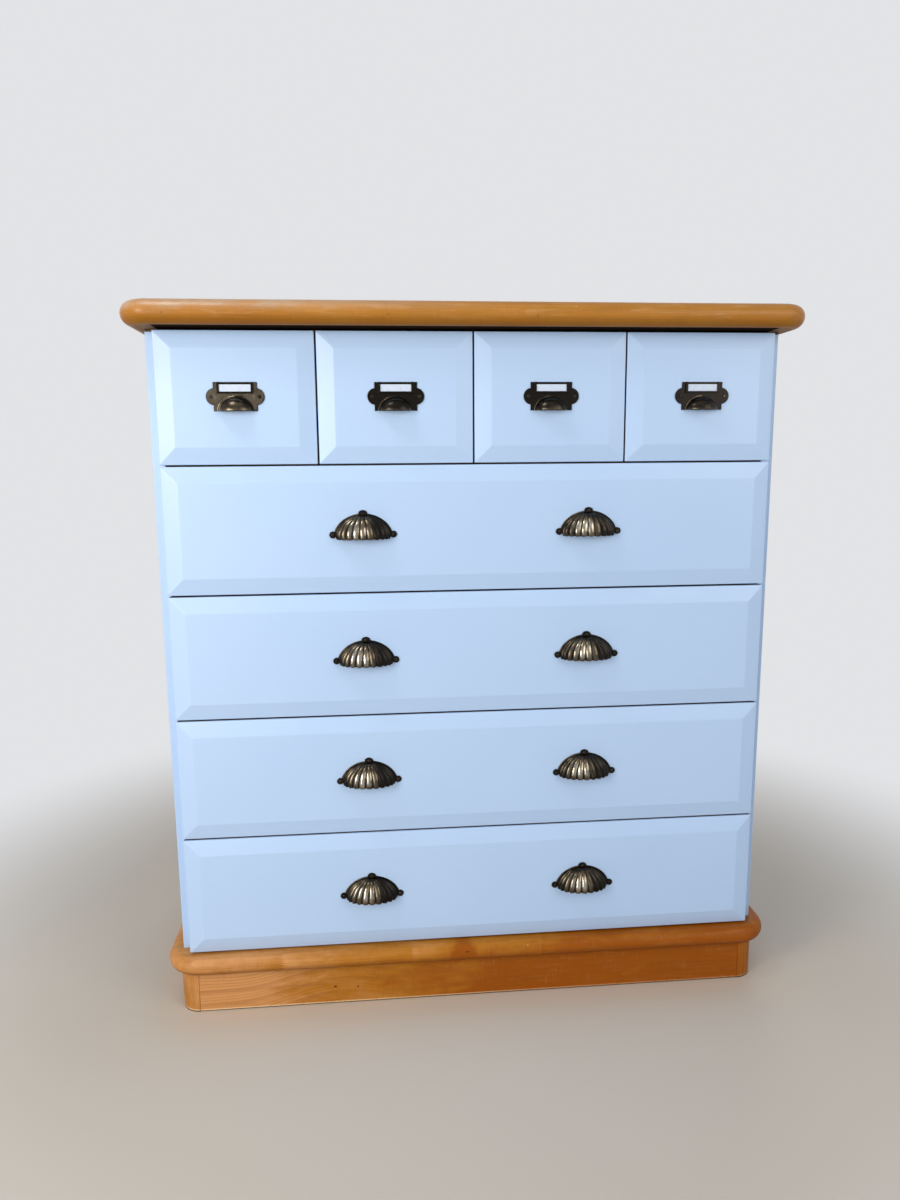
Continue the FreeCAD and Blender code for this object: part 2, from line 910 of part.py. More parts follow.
def export_carcass():
    export("top_board", top_board())
    export("base_board", base_board())
    export("plinth_front_rail", plinth_front_rail())
    export("plinth_side_rails", plinth_side_rails())
    export("plinth_back_rail", plinth_back_rail())
    export("plinth_corner_blocks", plinth_corner_blocks())
    export("left_side_panel", side_panel(-1))
    export("right_side_panel", side_panel(1))
    export("back_panel", back_panel())
    export("small_drawer_shelf", small_drawer_shelf())
    export("small_drawer_partitions", small_drawer_partitions())
    export("front_rails", front_rails())
    export("wide_drawer_runners", wide_drawer_runners())
    export("runner_screws", runner_screws)
    export("carcass_dowels", dowels)
    export("back_panel_pins", back_pins)


def export_wide_drawers():
    pull = shell_pull()
    box_half_width = inner_half_width - wide_box_side_play
    for row in range(wide_row_count):
        name = "wide_drawer_" + str(row + 1)
        bottom = small_row_z - (row + 1) * row_pitch
        box_bottom = bottom + wide_box_offset
        rim_level = bottom + front_height / 2 - shell_rim_drop
        pulls = []
        screws = []
        holes = []
        for side in (-1, 1):
            place = Vector(shell_shift + side * shell_spacing / 2, field_y, rim_level)
            pulls.append(moved(pull, place))
            for centre in shell_lug_centres:
                seat = place + centre + forward * shell_lug_thickness
                screws.append(round_head_screw(seat))
                holes.append(round_head_hole(seat))
        half_row = front_row_width / 2
        export(name + "_front", drawer_front(
            -half_row,
            half_row,
            bottom,
            -box_half_width,
            box_half_width,
            box_bottom,
            wide_box_height,
            holes,
        ))
        export(name + "_box", drawer_box(
            -box_half_width,
            box_half_width,
            box_bottom,
            wide_box_height,
            True,
        ))
        export(name + "_bottom", drawer_bottom(-box_half_width, box_half_width, box_bottom))
        export(name + "_shell_pulls", pulls)
        export(name + "_pull_screws", screws)


def export_small_drawers():
    pull = label_pull()
    card = label_card()
    box_bottom = shelf_top_z + small_box_floor_play
    box_height = top_bottom_z - small_box_headroom - box_bottom
    walls = [-inner_half_width - partition_thickness / 2]
    walls += partition_places
    walls += [inner_half_width + partition_thickness / 2]
    for index in range(small_drawer_count):
        name = "small_drawer_" + str(index + 1)
        left = -front_row_width / 2 + index * small_front_pitch
        right = left + small_front_width
        box_left = walls[index] + partition_thickness / 2 + small_box_side_play
        box_right = walls[index + 1] - partition_thickness / 2 - small_box_side_play
        place = Vector((left + right) / 2, field_y, small_row_z + front_height / 2 + label_rise)
        screws = []
        holes = []
        for side in (-1, 1):
            seat = place + Vector(side * label_screw_reach, -label_plate_thickness, 0)
            screws.append(round_head_screw(seat))
            holes.append(round_head_hole(seat))
        export(name + "_front", drawer_front(
            left,
            right,
            small_row_z,
            box_left,
            box_right,
            box_bottom,
            box_height,
            holes,
        ))
        export(name + "_box", drawer_box(box_left, box_right, box_bottom, box_height, False))
        export(name + "_bottom", drawer_bottom(box_left, box_right, box_bottom))
        export(name + "_label_pull", moved(pull, place))
        export(name + "_label_card", moved(card, place))
        export(name + "_pull_screws", screws)


os.makedirs("parts", exist_ok=True)
export_carcass()
export_wide_drawers()
export_small_drawers()
print("height", top_z, "width", 2 * top_half_length, "depth", top_depth)
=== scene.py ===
"""A chest of drawers, finished: eased boards, bullnosed slabs, cast pulls, paint, varnish and bare wood.

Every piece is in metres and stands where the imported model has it: +Z is up and the fronts face -Y.
"""

import json
import math

import bmesh
import bpy
from mathutils import Matrix, Vector

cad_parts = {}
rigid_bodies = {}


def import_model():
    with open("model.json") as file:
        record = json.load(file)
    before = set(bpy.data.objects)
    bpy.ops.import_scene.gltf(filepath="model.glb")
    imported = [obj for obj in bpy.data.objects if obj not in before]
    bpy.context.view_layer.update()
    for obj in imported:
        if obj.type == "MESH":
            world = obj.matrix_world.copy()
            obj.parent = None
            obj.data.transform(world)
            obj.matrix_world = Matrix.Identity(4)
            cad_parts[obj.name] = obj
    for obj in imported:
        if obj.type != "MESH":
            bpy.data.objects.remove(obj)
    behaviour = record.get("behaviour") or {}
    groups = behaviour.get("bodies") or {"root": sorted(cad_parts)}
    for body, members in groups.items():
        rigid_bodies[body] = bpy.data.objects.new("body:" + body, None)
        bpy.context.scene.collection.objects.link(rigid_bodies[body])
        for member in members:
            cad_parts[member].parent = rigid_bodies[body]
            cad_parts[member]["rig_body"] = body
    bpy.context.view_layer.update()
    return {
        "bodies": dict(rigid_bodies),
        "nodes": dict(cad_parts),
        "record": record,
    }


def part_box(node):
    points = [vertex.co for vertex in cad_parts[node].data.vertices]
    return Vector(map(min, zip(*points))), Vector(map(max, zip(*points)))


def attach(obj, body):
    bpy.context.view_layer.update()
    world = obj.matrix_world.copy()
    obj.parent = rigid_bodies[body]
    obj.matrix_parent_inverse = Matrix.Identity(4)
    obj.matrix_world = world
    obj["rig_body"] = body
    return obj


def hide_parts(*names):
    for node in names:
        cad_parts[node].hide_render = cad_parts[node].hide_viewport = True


bl_info = {
    "name": "Chest of drawers",
    "version": (1, 0, 0),
    "blender": (4, 5, 0),
    "location": "3D View > Sidebar > Chest",
    "description": "Finishes a chest of drawers piece by piece",
    "category": "Add Mesh",
}

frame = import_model()
NODES = frame["nodes"]
WIDE_DRAWERS = sorted(name for name in frame["bodies"] if name.startswith("wide_drawer"))
SMALL_DRAWERS = sorted(name for name in frame["bodies"] if name.startswith("small_drawer"))


# Kinds of settings

def length(name, description, default):
    return bpy.props.FloatProperty(
        name=name, description=description, default=default, min=0.0, precision=5, unit="LENGTH"
    )


def share(name, description, default):
    return bpy.props.FloatProperty(
        name=name, description=description, default=default, min=0.0, max=1.0, subtype="FACTOR"
    )


def amount(name, description, default):
    return bpy.props.FloatProperty(name=name, description=description, default=default)


def count(name, description, default):
    return bpy.props.IntProperty(name=name, description=description, default=default, min=1)


def colour(name, description, default):
    return bpy.props.FloatVectorProperty(
        name=name, description=description, default=default, min=0.0, max=1.0, size=3, subtype="COLOR"
    )


# Settings

class BoardSettings(bpy.types.PropertyGroup):
    front_arris: length("Front arris", "Rounding of the painted fronts' edges", 0.0011)
    board_arris: length("Board arris", "Rounding of the other boards' edges", 0.0008)
    thin_arris: length("Thin arris", "Rounding of the thin panels' edges", 0.0004)
    plinth_arris: length("Plinth arris", "Rounding of the plinth's edges", 0.0014)
    top_corner: length("Top corner", "Plan radius of the top's front corners", 0.041)
    base_corner: length("Base corner", "Plan radius of the base's front corners", 0.054)


class ShellPullSettings(bpy.types.PropertyGroup):
    lobe_count: count("Lobes", "Flutes round the cup", 11)
    lobe_depth: share("Lobe depth", "Depth of the valleys over the cup's radius", 0.08)
    scallop: length("Scallop", "How far the rim rises between two flutes", 0.0012)
    tuck: share("Tuck", "How far the rim turns in, over the cup's radius", 0.06)
    half_width: length("Half width", "Half the cup's width at its rim", 0.041)
    projection: length("Projection", "Reach of the cup from the front", 0.0235)
    height: length("Height", "Height of the cup", 0.0345)
    spacing: length("Spacing", "Distance between a drawer's two pulls", 0.33)
    shift: length("Shift", "How far right of centre the pair sits", 0.0034)
    rim_drop: length("Rim drop", "Height of the rim below the front's middle", 0.0136)


class LabelPullSettings(bpy.types.PropertyGroup):
    plate_width: length("Plate width", "Width of the plate without its ears", 0.06)
    plate_height: length("Plate height", "Height of the plate", 0.0396)
    plate_thickness: length("Plate thickness", "Thickness of the plate", 0.0015)
    frame_width: length("Frame width", "Width of the label frame", 0.05)
    frame_height: length("Frame height", "Height of the label frame", 0.0157)
    rise: length("Rise", "Height of the plate above the front's middle", 0.0015)
    cup_half_width: length("Cup half width", "Half the width of the cup", 0.0232)
    cup_radius: length("Cup radius", "Height and reach of the cup", 0.019)
    card_bow: length("Card bow", "How far the card's middle stands off", 0.0002)


class ScrewSettings(bpy.types.PropertyGroup):
    head_radius: length("Head radius", "Radius of a pull screw's head", 0.0027)
    head_height: length("Head height", "Height of the head's dome", 0.0013)
    slot_width: length("Slot width", "Width of the slot", 0.0007)
    slot_depth: length("Slot depth", "Depth of the slot", 0.0006)


class PaintSettings(bpy.types.PropertyGroup):
    body: colour("Body", "Main colour of the paint", (0.48, 0.65, 0.92))
    thin: colour("Thin", "Colour where the coat lies thin", (0.445, 0.62, 0.905))
    roughness: share("Roughness", "Roughness of the dried paint", 0.46)
    sheen_coat: share("Coat", "Strength of the paint's gloss", 0.25)
    coat_roughness: share("Coat roughness", "Roughness of that gloss", 0.3)


class VarnishSettings(bpy.types.PropertyGroup):
    # Bleached wood is also the pale end of the painted light along the base and the plinth
    bleached: colour("Bleached wood", "Wood that light has bleached", (0.65, 0.31, 0.115))
    honey: colour("Honey wood", "Wood of the usual tone", (0.45, 0.174, 0.018))
    amber: colour("Amber wood", "Wood that kept all its colour", (0.325, 0.083, 0.0035))
    # Late wood also colours the painted shade under the bullnose of the top and the base
    late: colour("Late wood", "The dark line of a growth ring", (0.19, 0.055, 0.006))
    # Pores also colour the painted contact shadow along the plinth's foot
    pore: colour("Pores", "Small dark flecks and knots", (0.05, 0.016, 0.006))
    speck: colour("Specks", "Tiny pale chips in the varnish", (0.85, 0.66, 0.40))
    olive: colour("Olive wood", "A green cast under the top's varnish", (0.42, 0.23, 0.035))
    # This is a painted sheen, the whitish highlight on the top's bullnose
    painted_sheen: colour("Haze", "Varnish gone milky on the front edge", (0.50, 0.42, 0.35))
    stave_width: length("Stave width", "Width of the glued staves", 0.064)
    top_block: length("Top block", "Length between the top's finger joints", 0.42)
    base_block: length("Base block", "Length between the base's finger joints", 0.2)
    ring_gap: length("Ring gap", "Distance between growth rings", 0.0037)
    roughness: share("Roughness", "Roughness under the varnish", 0.4)
    gloss: share("Gloss", "Strength of the wood's own reflection", 0.06)
    coat: share("Coat", "Strength of the varnish", 1.0)
    coat_roughness: share("Coat roughness", "Roughness of the varnish", 0.3)


class BareWoodSettings(bpy.types.PropertyGroup):
    drawer_pale: colour("Drawer wood", "Pale part of the drawer boards", (0.62, 0.43, 0.24))
    drawer_dark: colour("Drawer rings", "Dark part of the drawer boards", (0.42, 0.25, 0.11))
    carcass_pale: colour("Carcass wood", "Pale part of the inner boards", (0.13, 0.07, 0.036))
    carcass_dark: colour("Carcass rings", "Dark part of the inner boards", (0.065, 0.032, 0.016))
    under_pale: colour("Underside", "Pale part of the undersides", (0.27, 0.14, 0.055))
    under_dark: colour("Underside rings", "Dark part of the undersides", (0.16, 0.075, 0.028))
    # Painted shadow: the near-black of the slot under the top
    painted_slot_shadow: colour("Slot wood", "Wood in the slot under the top", (0.012, 0.007, 0.004))
    runner_pale: colour("Runner wood", "Pale part of the hardwood", (0.52, 0.33, 0.18))
    runner_dark: colour("Runner rings", "Dark part of the hardwood", (0.36, 0.20, 0.10))
    ply_pale: colour("Plywood", "Pale part of the drawer bottoms", (0.60, 0.44, 0.27))
    ply_dark: colour("Plywood figure", "Dark part of the drawer bottoms", (0.44, 0.29, 0.16))
    board_brown: colour("Hardboard", "Smooth side of the back panel", (0.23, 0.125, 0.06))
    board_fleck: colour("Hardboard flecks", "Fibres in the back panel", (0.34, 0.20, 0.105))
    ring_gap: length("Ring gap", "Distance between growth rings", 0.0032)
    roughness: share("Roughness", "Roughness of planed wood", 0.62)
    gloss: share("Gloss", "Strength of its reflection", 0.2)


class MetalSettings(bpy.types.PropertyGroup):
    # Rubbed brass also shows the painted highlights that the pulls' rub holds
    rubbed: colour("Rubbed brass", "Brass where hands rub it bright", (0.46, 0.425, 0.355))
    brown: colour("Brown brass", "Brass under its brown lacquer", (0.12, 0.094, 0.061))
    patina: colour("Patina", "The dark coat in the hollows", (0.012, 0.0095, 0.0075))
    rubbed_roughness: share("Rubbed roughness", "Roughness of rubbed brass", 0.1)
    patina_roughness: share("Patina roughness", "Roughness of the patina", 0.3)
    lacquer: share("Lacquer", "Strength of the clear lacquer", 0.15)
    lacquer_roughness: share("Lacquer roughness", "Roughness of the clear lacquer", 0.22)
    zinc: colour("Zinc", "Colour of the steel screws", (0.56, 0.56, 0.54))
    zinc_roughness: share("Zinc roughness", "Roughness of the steel screws", 0.36)
    card: colour("Card", "Colour of the blank cards", (0.63, 0.73, 0.91))


class StageSettings(bpy.types.PropertyGroup):
    floor: colour("Floor", "Colour of the floor", (0.62, 0.56, 0.49))
    backdrop: colour("Backdrop", "Colour behind the object", (0.76, 0.77, 0.79))
    floor_near: length("Floor near", "Distance at which the floor starts to fade", 0.6)
    floor_far: length("Floor far", "Distance at which the floor is all backdrop", 1.4)
    ambient: amount("Ambient", "Strength of the light from all round", 0.30)
    ambient_tint: colour("Ambient tint", "Colour of the light from all round", (0.84, 0.92, 1.0))
    key: amount("Key", "Power of the lamp at the left", 13.2)
    front: amount("Front", "Power of the low lamp at the left", 23.5)
    top: amount("Top", "Power of the lamp overhead", 4.6)
    fill: amount("Fill", "Power of the lamp at the right", 14.5)
    back: amount("Back", "Power of the lamp behind the object", 12.0)


SETTINGS = {
    "chest_boards": BoardSettings,
    "chest_shell_pulls": ShellPullSettings,
    "chest_label_pulls": LabelPullSettings,
    "chest_screws": ScrewSettings,
    "chest_paint": PaintSettings,
    "chest_varnish": VarnishSettings,
    "chest_bare_wood": BareWoodSettings,
    "chest_metal": MetalSettings,
    "chest_stage": StageSettings,
}


# Shader maths

# Numbers of the sockets that share a name or have none of their own
OBJECT_PLACE = 3
ATTRIBUTE_VALUE = 2
MIX_FACTOR, MIX_FIRST, MIX_SECOND = 0, 6, 7
MIX_COLOUR = 2
CAMERA_RAY, GLOSSY_RAY, TRANSMISSION_RAY = 0, 3, 6


class Signal:
    """A value in a material, on which Python's own signs add Math nodes."""

    def __init__(self, surface, socket):
        self.surface = surface
        self.socket = socket

    def maths(self, operation, first, second=0.0):
        return self.surface.add("ShaderNodeMath", {"operation": operation}, {0: first, 1: second})[0]

    def __add__(self, other):
        return self.maths("ADD", self, other)

    def __radd__(self, other):
        return self.maths("ADD", other, self)

    def __sub__(self, other):
        return self.maths("SUBTRACT", self, other)

    def __rsub__(self, other):
        return self.maths("SUBTRACT", other, self)

    def __mul__(self, other):
        return self.maths("MULTIPLY", self, other)

    def __rmul__(self, other):
        return self.maths("MULTIPLY", other, self)

    def __truediv__(self, other):
        return self.maths("DIVIDE", self, other)

    def __gt__(self, other):
        return self.maths("GREATER_THAN", self, other)

    def __lt__(self, other):
        return self.maths("LESS_THAN", self, other)

    def floor(self):
        return self.maths("FLOOR", self)

    def fraction(self):
        return self.maths("FRACT", self)

    def zigzag(self):
        """Up and down between 0 and 1, one round for each unit."""
        return self.maths("PINGPONG", self, 0.5) * 2.0

    def root(self):
        return self.maths("SQRT", self)

    def most(self, other):
        return self.maths("MAXIMUM", self, other)

    def rise(self, low, high):
        """0 below low, 1 above high, and smooth between."""
        inputs = {"Value": self, "From Min": low, "From Max": high}
        return self.surface.add("ShaderNodeMapRange", {"interpolation_type": "SMOOTHSTEP"}, inputs)[0]


class Surface:
    """A material or a world that is put together node by node."""

    def __init__(self, name, kind=bpy.data.materials):
        self.material = kind.new(name)
        self.material.use_nodes = True
        self.tree = self.material.node_tree
        self.tree.nodes.clear()

    def add(self, kind, settings, inputs):
        """Adds one node, sets it and its sockets, and gives its outputs."""
        made = self.tree.nodes.new(kind)
        for name, value in settings.items():
            setattr(made, name, value)
        for key, value in inputs.items():
            if isinstance(value, Signal):
                self.tree.links.new(value.socket, made.inputs[key])
            elif isinstance(value, tuple) and made.inputs[key].type == "RGBA":
                made.inputs[key].default_value = (*value[:3], 1.0)
            else:
                made.inputs[key].default_value = value
        return [Signal(self, socket) for socket in made.outputs]

    def place(self, axis="x"):
        """Object coordinates, turned so that a board's grain runs along the first."""
        coordinates = self.add("ShaderNodeTexCoord", {}, {})[OBJECT_PLACE]
        inputs = {"Vector": coordinates, "Rotation": GRAIN_TURNS[axis]}
        return self.add("ShaderNodeMapping", {}, inputs)[0]

    def parts(self, vector):
        return self.add("ShaderNodeSeparateXYZ", {}, {0: vector})

    def vector(self, x, y, z):
        return self.add("ShaderNodeCombineXYZ", {}, {0: x, 1: y, 2: z})[0]

    def noise(self, vector, scale, detail=2.0, roughness=0.5):
        inputs = {"Vector": vector, "Scale": scale, "Detail": detail, "Roughness": roughness}
        return self.add("ShaderNodeTexNoise", {}, inputs)[0]

    def grain(self, board, along, across, detail=2.0, roughness=0.5, shift=None):
        """Noise on a board's three coordinates, drawn out along the first and shifted along it."""
        x, y, z = board
        lengthwise = x * along if shift is None else x * along + shift
        return self.noise(self.vector(lengthwise, y * across, z * across), 1.0, detail, roughness)

    def dice(self, x, y, z):
        """Three random values for each whole-numbered place."""
        inputs = {"Vector": self.vector(x, y, z)}
        return self.parts(self.add("ShaderNodeTexWhiteNoise", {"noise_dimensions": "3D"}, inputs)[1])

    def flecks(self, board):
        """Short cells along the grain: the distance to their middles, and three random values for each."""
        x, y, z = board
        place = self.vector(x * FLECKS_ALONG, y * FLECKS_ACROSS, z * FLECKS_ACROSS)
        inputs = {"Vector": place, "Scale": 1.0}
        distance, chance = self.add("ShaderNodeTexVoronoi", {"feature": "F1"}, inputs)[:2]
        return distance, self.parts(chance)

    def mix(self, factor, first, second):
        inputs = {MIX_FACTOR: factor, MIX_FIRST: first, MIX_SECOND: second}
        return self.add("ShaderNodeMix", {"data_type": "RGBA", "blend_type": "MIX"}, inputs)[MIX_COLOUR]

    def stain(self, ground, *layers):
        """Lays one tint after another over a ground, each by its share."""
        for factor, tint in layers:
            ground = self.mix(factor, ground, tint[:])
        return ground

    def bump(self, height, distance, strength, under=None):
        inputs = {"Height": height, "Distance": distance, "Strength": strength}
        if under is not None:
            inputs["Normal"] = under
        return self.add("ShaderNodeBump", {}, inputs)[0]

    def finish(self, **inputs):
        """Ends the material in one Principled shader."""
        sockets = {name.replace("_", " "): value for name, value in inputs.items()}
        shader = self.add("ShaderNodeBsdfPrincipled", {}, sockets)[0]
        self.add("ShaderNodeOutputMaterial", {}, {"Surface": shader})
        return self.material


# Materials

GRAIN_TURNS = {
    "x": (0.0, 0.0, 0.0),
    "y": (0.0, 0.0, math.radians(90)),
    "z": (0.0, math.radians(90), 0.0),
}
BOARD_FEET = {"top": 1.0275, "base": 0.067}
FLECKS_ALONG = 42.0
FLECKS_ACROSS = 110.0
SEASONS = 90.0
SEASON_SHIFT = 0.012
RING_WAVER = 0.0022
TOP_JOINT = -0.1206
BASE_JOINT = 0.1019
STAVE_SHIFT = -0.109
FRONT_STAVE = -3.5
FINGER_PITCH = 0.0042
FINGER_DEPTH = 0.0075
KNOT_X = -0.205
KNOT_REACH = 0.17
KNOT_LIFT = 0.03
made_materials = {}


def kept(maker):
    """Makes each material once and hands out the same one afterwards."""
    def ask(*words):
        key = (maker.__name__, *words)
        if key not in made_materials:
            made_materials[key] = maker(*words)
        return made_materials[key]
    return ask


def growth_rings(surface, board, ring_gap, pith_y, pith_z, wander):
    """Rings about a pith that wanders along the board: 0 in early wood, 1 in late wood."""
    x, y, z = board
    slow = surface.grain(board, 1.3, 5.0)
    waver = surface.grain(board, 9.0, 40.0)
    across = y - pith_y
    down = z - pith_z + (slow - 0.5) * wander
    radius = (across * across + down * down).root() + (waver - 0.5) * RING_WAVER
    seasons = surface.noise(surface.vector(radius * SEASONS, 0.0, 0.0), 1.0, 1.0) * SEASON_SHIFT
    ring = ((radius + seasons) / ring_gap).fraction()
    return ring.rise(0.45, 0.9) * (1.0 - ring.rise(0.93, 1.0))


def mark(across, height, x, z, wide, tall):
    """An oval spot on a front: 1 in its middle and 0 outside."""
    sideways = (across - x) / wide
    upwards = (height - z) / tall
    return 1.0 - (sideways * sideways + upwards * upwards).root().rise(0.4, 1.0)


def front_marks(board, across, depth, height, crumbs):
    """The knots and dark ticks that the front of each varnished board shows."""
    if board == "top":
        marks = mark(across, height, -0.4192, 1.0406, 0.0018, 0.0014)
        marks = marks.most(mark(across, height, -0.0406, 1.035, 0.0008, 0.004) * 0.6)
        marks = marks.most(mark(across, height, 0.0846, 1.041, 0.0011, 0.0085) * crumbs.rise(0.5, 0.62))
    elif board == "plinth":
        marks = mark(across, height, -0.2229, 0.0288, 0.0036, 0.002)
        marks = marks.most(mark(across, height, -0.1874, 0.0263, 0.002, 0.002))
    else:
        marks = mark(across, height, -0.016, 0.086, 0.004, 0.0016) * crumbs.rise(0.4, 0.6)
    return marks * (depth < -0.19)


def board_tone(board, across):
    """How much of its colour a board has kept, with painted light: the base and the plinth are painted paler
    at their left end, where the light falls, and darker to the right.
    """
    if board == "top":
        return 0.54 - across.rise(-0.5, 0.5) * 0.04
    if board == "base":
        return 0.24 + across.rise(-0.5, 0.35) * 0.48 + (across > BASE_JOINT) * 0.2
    if board == "plinth":
        return 0.04 + across.rise(-0.36, -0.2) * 0.5 + across.rise(-0.2, 0.1) * 0.56
    return 0.4 + (across > 0.0) * 0.5


@kept
def varnished_wood(board, axis):
    """Honey pine under a satin varnish, of which the top and the base are glued up from short blocks."""
    look = bpy.context.scene.chest_varnish
    surface = Surface("varnished_" + board + "_" + axis)
    across, depth, height = surface.parts(surface.place())
    x, y, z = wood = surface.parts(surface.place(axis))
    is_top = 1.0 if board == "top" else 0.0
    is_base = 1.0 if board == "base" else 0.0
    is_jointed = is_top + is_base
    joint = TOP_JOINT if is_top else BASE_JOINT
    block_length = look.top_block if is_top else look.base_block

    stave = (y / look.stave_width + STAVE_SHIFT).floor()
    lot = surface.dice(stave, 3.0, 7.0)
    teeth = ((y + z) / FINGER_PITCH).zigzag() * FINGER_DEPTH
    along = (x + teeth - joint) / block_length + lot[0] * (stave > FRONT_STAVE)
    block = along.floor() * is_jointed
    chance = surface.dice(block, stave, 11.0)
    glue_line = (1.0 - along.fraction().rise(0.0, 0.006)) * is_jointed

    bend = across.rise(KNOT_X - KNOT_REACH, KNOT_X) * (1.0 - across.rise(KNOT_X, KNOT_X + KNOT_REACH))
    lift = bend * (1.0 - is_jointed) * KNOT_LIFT
    bent = (x + chance[0] * 3.0, y, z - lift)
    rings = growth_rings(surface, bent, look.ring_gap, (chance[1] - 0.5) * 0.2, -0.14, 0.03)
    figure = 0.55 - across.rise(-0.32, -0.05) * 0.42 if board == "plinth" else 0.12 + chance[2] * 0.2
    fibre = surface.grain(wood, 6.0, 420.0, 3.0, 0.6, block * 3.7)
    streak = surface.grain(wood, 3.5, 70.0, 3.0, 0.6, block * 1.3)
    cloud = surface.grain(wood, 7.0, 22.0, shift=block * 2.1)
    patch = surface.grain(wood, 26.0, 60.0, 3.0, 0.65, block)
    chatter = surface.grain(wood, 420.0, 25.0)
    crumbs = surface.grain(wood, 500.0, 500.0, 1.0)
    scuff = surface.grain(wood, 18.0, 190.0, 3.0, 0.65).rise(0.5, 0.68)
    cell, kinds = surface.flecks(wood)

    lifted = height - BOARD_FEET.get(board, 0.0)
    # Painted shade: the lower part of the top's and the base's bullnose is darkened towards the late-wood
    # colour and its coat dulled, and the tone low on the board is pushed towards amber, as if in shade
    painted_shade_below = (1.0 - lifted.rise(0.004, 0.014)) * is_jointed
    shaded = (1.0 - lifted.rise(0.008, 0.026)) * (0.16 if is_top else across.rise(-0.35, -0.1) * 0.22)
    swirl = mark(across, height, -0.0213, 0.083, 0.026, 0.02) * is_base
    tone = board_tone(board, across) + (chance[0] - 0.5) * 0.14 + swirl * (0.2 + patch * 0.5)
    tone = tone + shaded * is_jointed + (cloud - 0.5) * 0.9 + (patch - 0.5) * 0.8
    tint = surface.stain(
        look.bleached[:],
        (tone.rise(0.0, 0.55), look.honey),
        (tone.rise(0.45, 1.0), look.amber),
        (rings * figure * (0.3 + fibre * 0.4), look.late),
        (streak.rise(0.5, 0.8) * 0.3, look.late),
        (fibre.rise(0.5, 0.8) * 0.2, look.late),
        (chatter.rise(0.55, 0.75) * patch.rise(0.45, 0.65) * 0.2, look.bleached),
        ((1.0 - chatter).rise(0.55, 0.8) * (1.0 - patch).rise(0.4, 0.6) * 0.22, look.late),
        (glue_line * (0.25 + patch.rise(0.4, 0.6) * 0.45), look.late),
        ((1.0 - cell.rise(0.05, 0.13)) * (kinds[0] > 0.95) * 0.7, look.pore),
        ((1.0 - cell.rise(0.03, 0.08)) * (kinds[1] > 0.965) * 0.8, look.speck),
        (front_marks(board, across, depth, height, crumbs) * 0.92, look.pore),
        # the painted shade under the bullnose
        (painted_shade_below * (0.6 if is_base else 0.5), look.late),
        (scuff * patch.rise(0.35, 0.6) * ((1.0 - painted_shade_below) * (0.5 if is_top else 0.1)), look.bleached),
    )
    if is_top:
        # Painted sheen: a whitish highlight on the upper front of the top's bullnose, strongest at its left
        # end where the light falls
        painted_sheen = lifted.rise(0.014, 0.027) * (1.0 - lifted.rise(0.031, 0.033))
        painted_sheen = painted_sheen * (1.0 - across.rise(-0.42, 0.12))
        tint = surface.stain(
            tint,
            (0.16 + patch.rise(0.35, 0.65) * 0.16, look.olive),
            (painted_sheen * (0.25 + patch.rise(0.3, 0.7) * 0.4), look.painted_sheen),
        )
    if not is_jointed:
        # On the plinth: a pale line a few millimetres above the floor, fading to the right, and under it a
        # painted contact shadow, near black, along the foot
        worn = height.rise(0.0016, 0.0022) * (1.0 - height.rise(0.0032, 0.004)) * crumbs.rise(0.2, 0.45)
        tint = surface.stain(
            tint,
            (worn * (0.85 - across.rise(-0.5, 0.4) * 0.6), look.speck),
            ((1.0 - height.rise(0.0012, 0.002)) * 0.95, look.pore),
        )

    relief = surface.bump(rings * figure * 0.3 + fibre * 0.6 - glue_line * 0.6, 0.0002, 0.3)
    flow = surface.grain(wood, 14.0, 50.0, 3.0, 0.6)
    coated = 1.0 if is_top else 0.3
    return surface.finish(
        Base_Color=tint,
        Roughness=look.roughness + (fibre - 0.5) * 0.2,
        Specular_IOR_Level=look.gloss,
        Coat_Weight=look.coat * (0.38 + patch.rise(0.25, 0.75) * 0.24) * coated * (1.0 - painted_shade_below * 0.85),
        Coat_Roughness=look.coat_roughness,
        Normal=surface.bump(flow, 0.0005, 0.3, relief),
    )


@kept
def bare_wood(kind, axis):
    """Planed wood without a finish, with its growth rings along the board."""
    look = bpy.context.scene.chest_bare_wood
    pale = getattr(look, kind + "_pale")
    dark = getattr(look, kind + "_dark")
    surface = Surface(kind + "_wood_" + axis)
    wood = surface.parts(surface.place(axis))
    rings = growth_rings(surface, wood, look.ring_gap, 0.03, -0.05, 0.16)
    fibre = surface.grain(wood, 6.0, 380.0, 3.0, 0.6)
    cloud = surface.grain(wood, 2.5, 9.0)
    cell, kinds = surface.flecks(wood)
    return surface.finish(
        Base_Color=surface.stain(
            pale[:],
            (rings * 0.55 + cloud.rise(0.45, 0.8) * 0.25, dark),
            (fibre.rise(0.5, 0.85) * 0.35, dark),
            ((1.0 - cell.rise(0.05, 0.14)) * (kinds[0] > 0.9) * 0.5, dark),
        ),
        Roughness=look.roughness + (fibre - 0.5) * 0.2,
        Specular_IOR_Level=look.gloss,
        Normal=surface.bump(rings * 0.5 + fibre * 0.5, 0.0003, 0.4),
    )


@kept
def dark_underside():
    """Near-black wood in the narrow slot over the drawers: a painted shadow, with faint brown fibres."""
    look = bpy.context.scene.chest_bare_wood
    surface = Surface("dark_underside")
    fibre = surface.grain(surface.parts(surface.place()), 6.0, 380.0, 3.0, 0.6)
    return surface.finish(
        Base_Color=surface.stain(look.painted_slot_shadow[:], (fibre.rise(0.4, 0.8) * 0.5, look.carcass_dark)),
        Roughness=0.9,
        Specular_IOR_Level=0.02,
        Normal=surface.bump(fibre, 0.0003, 0.4),
    )


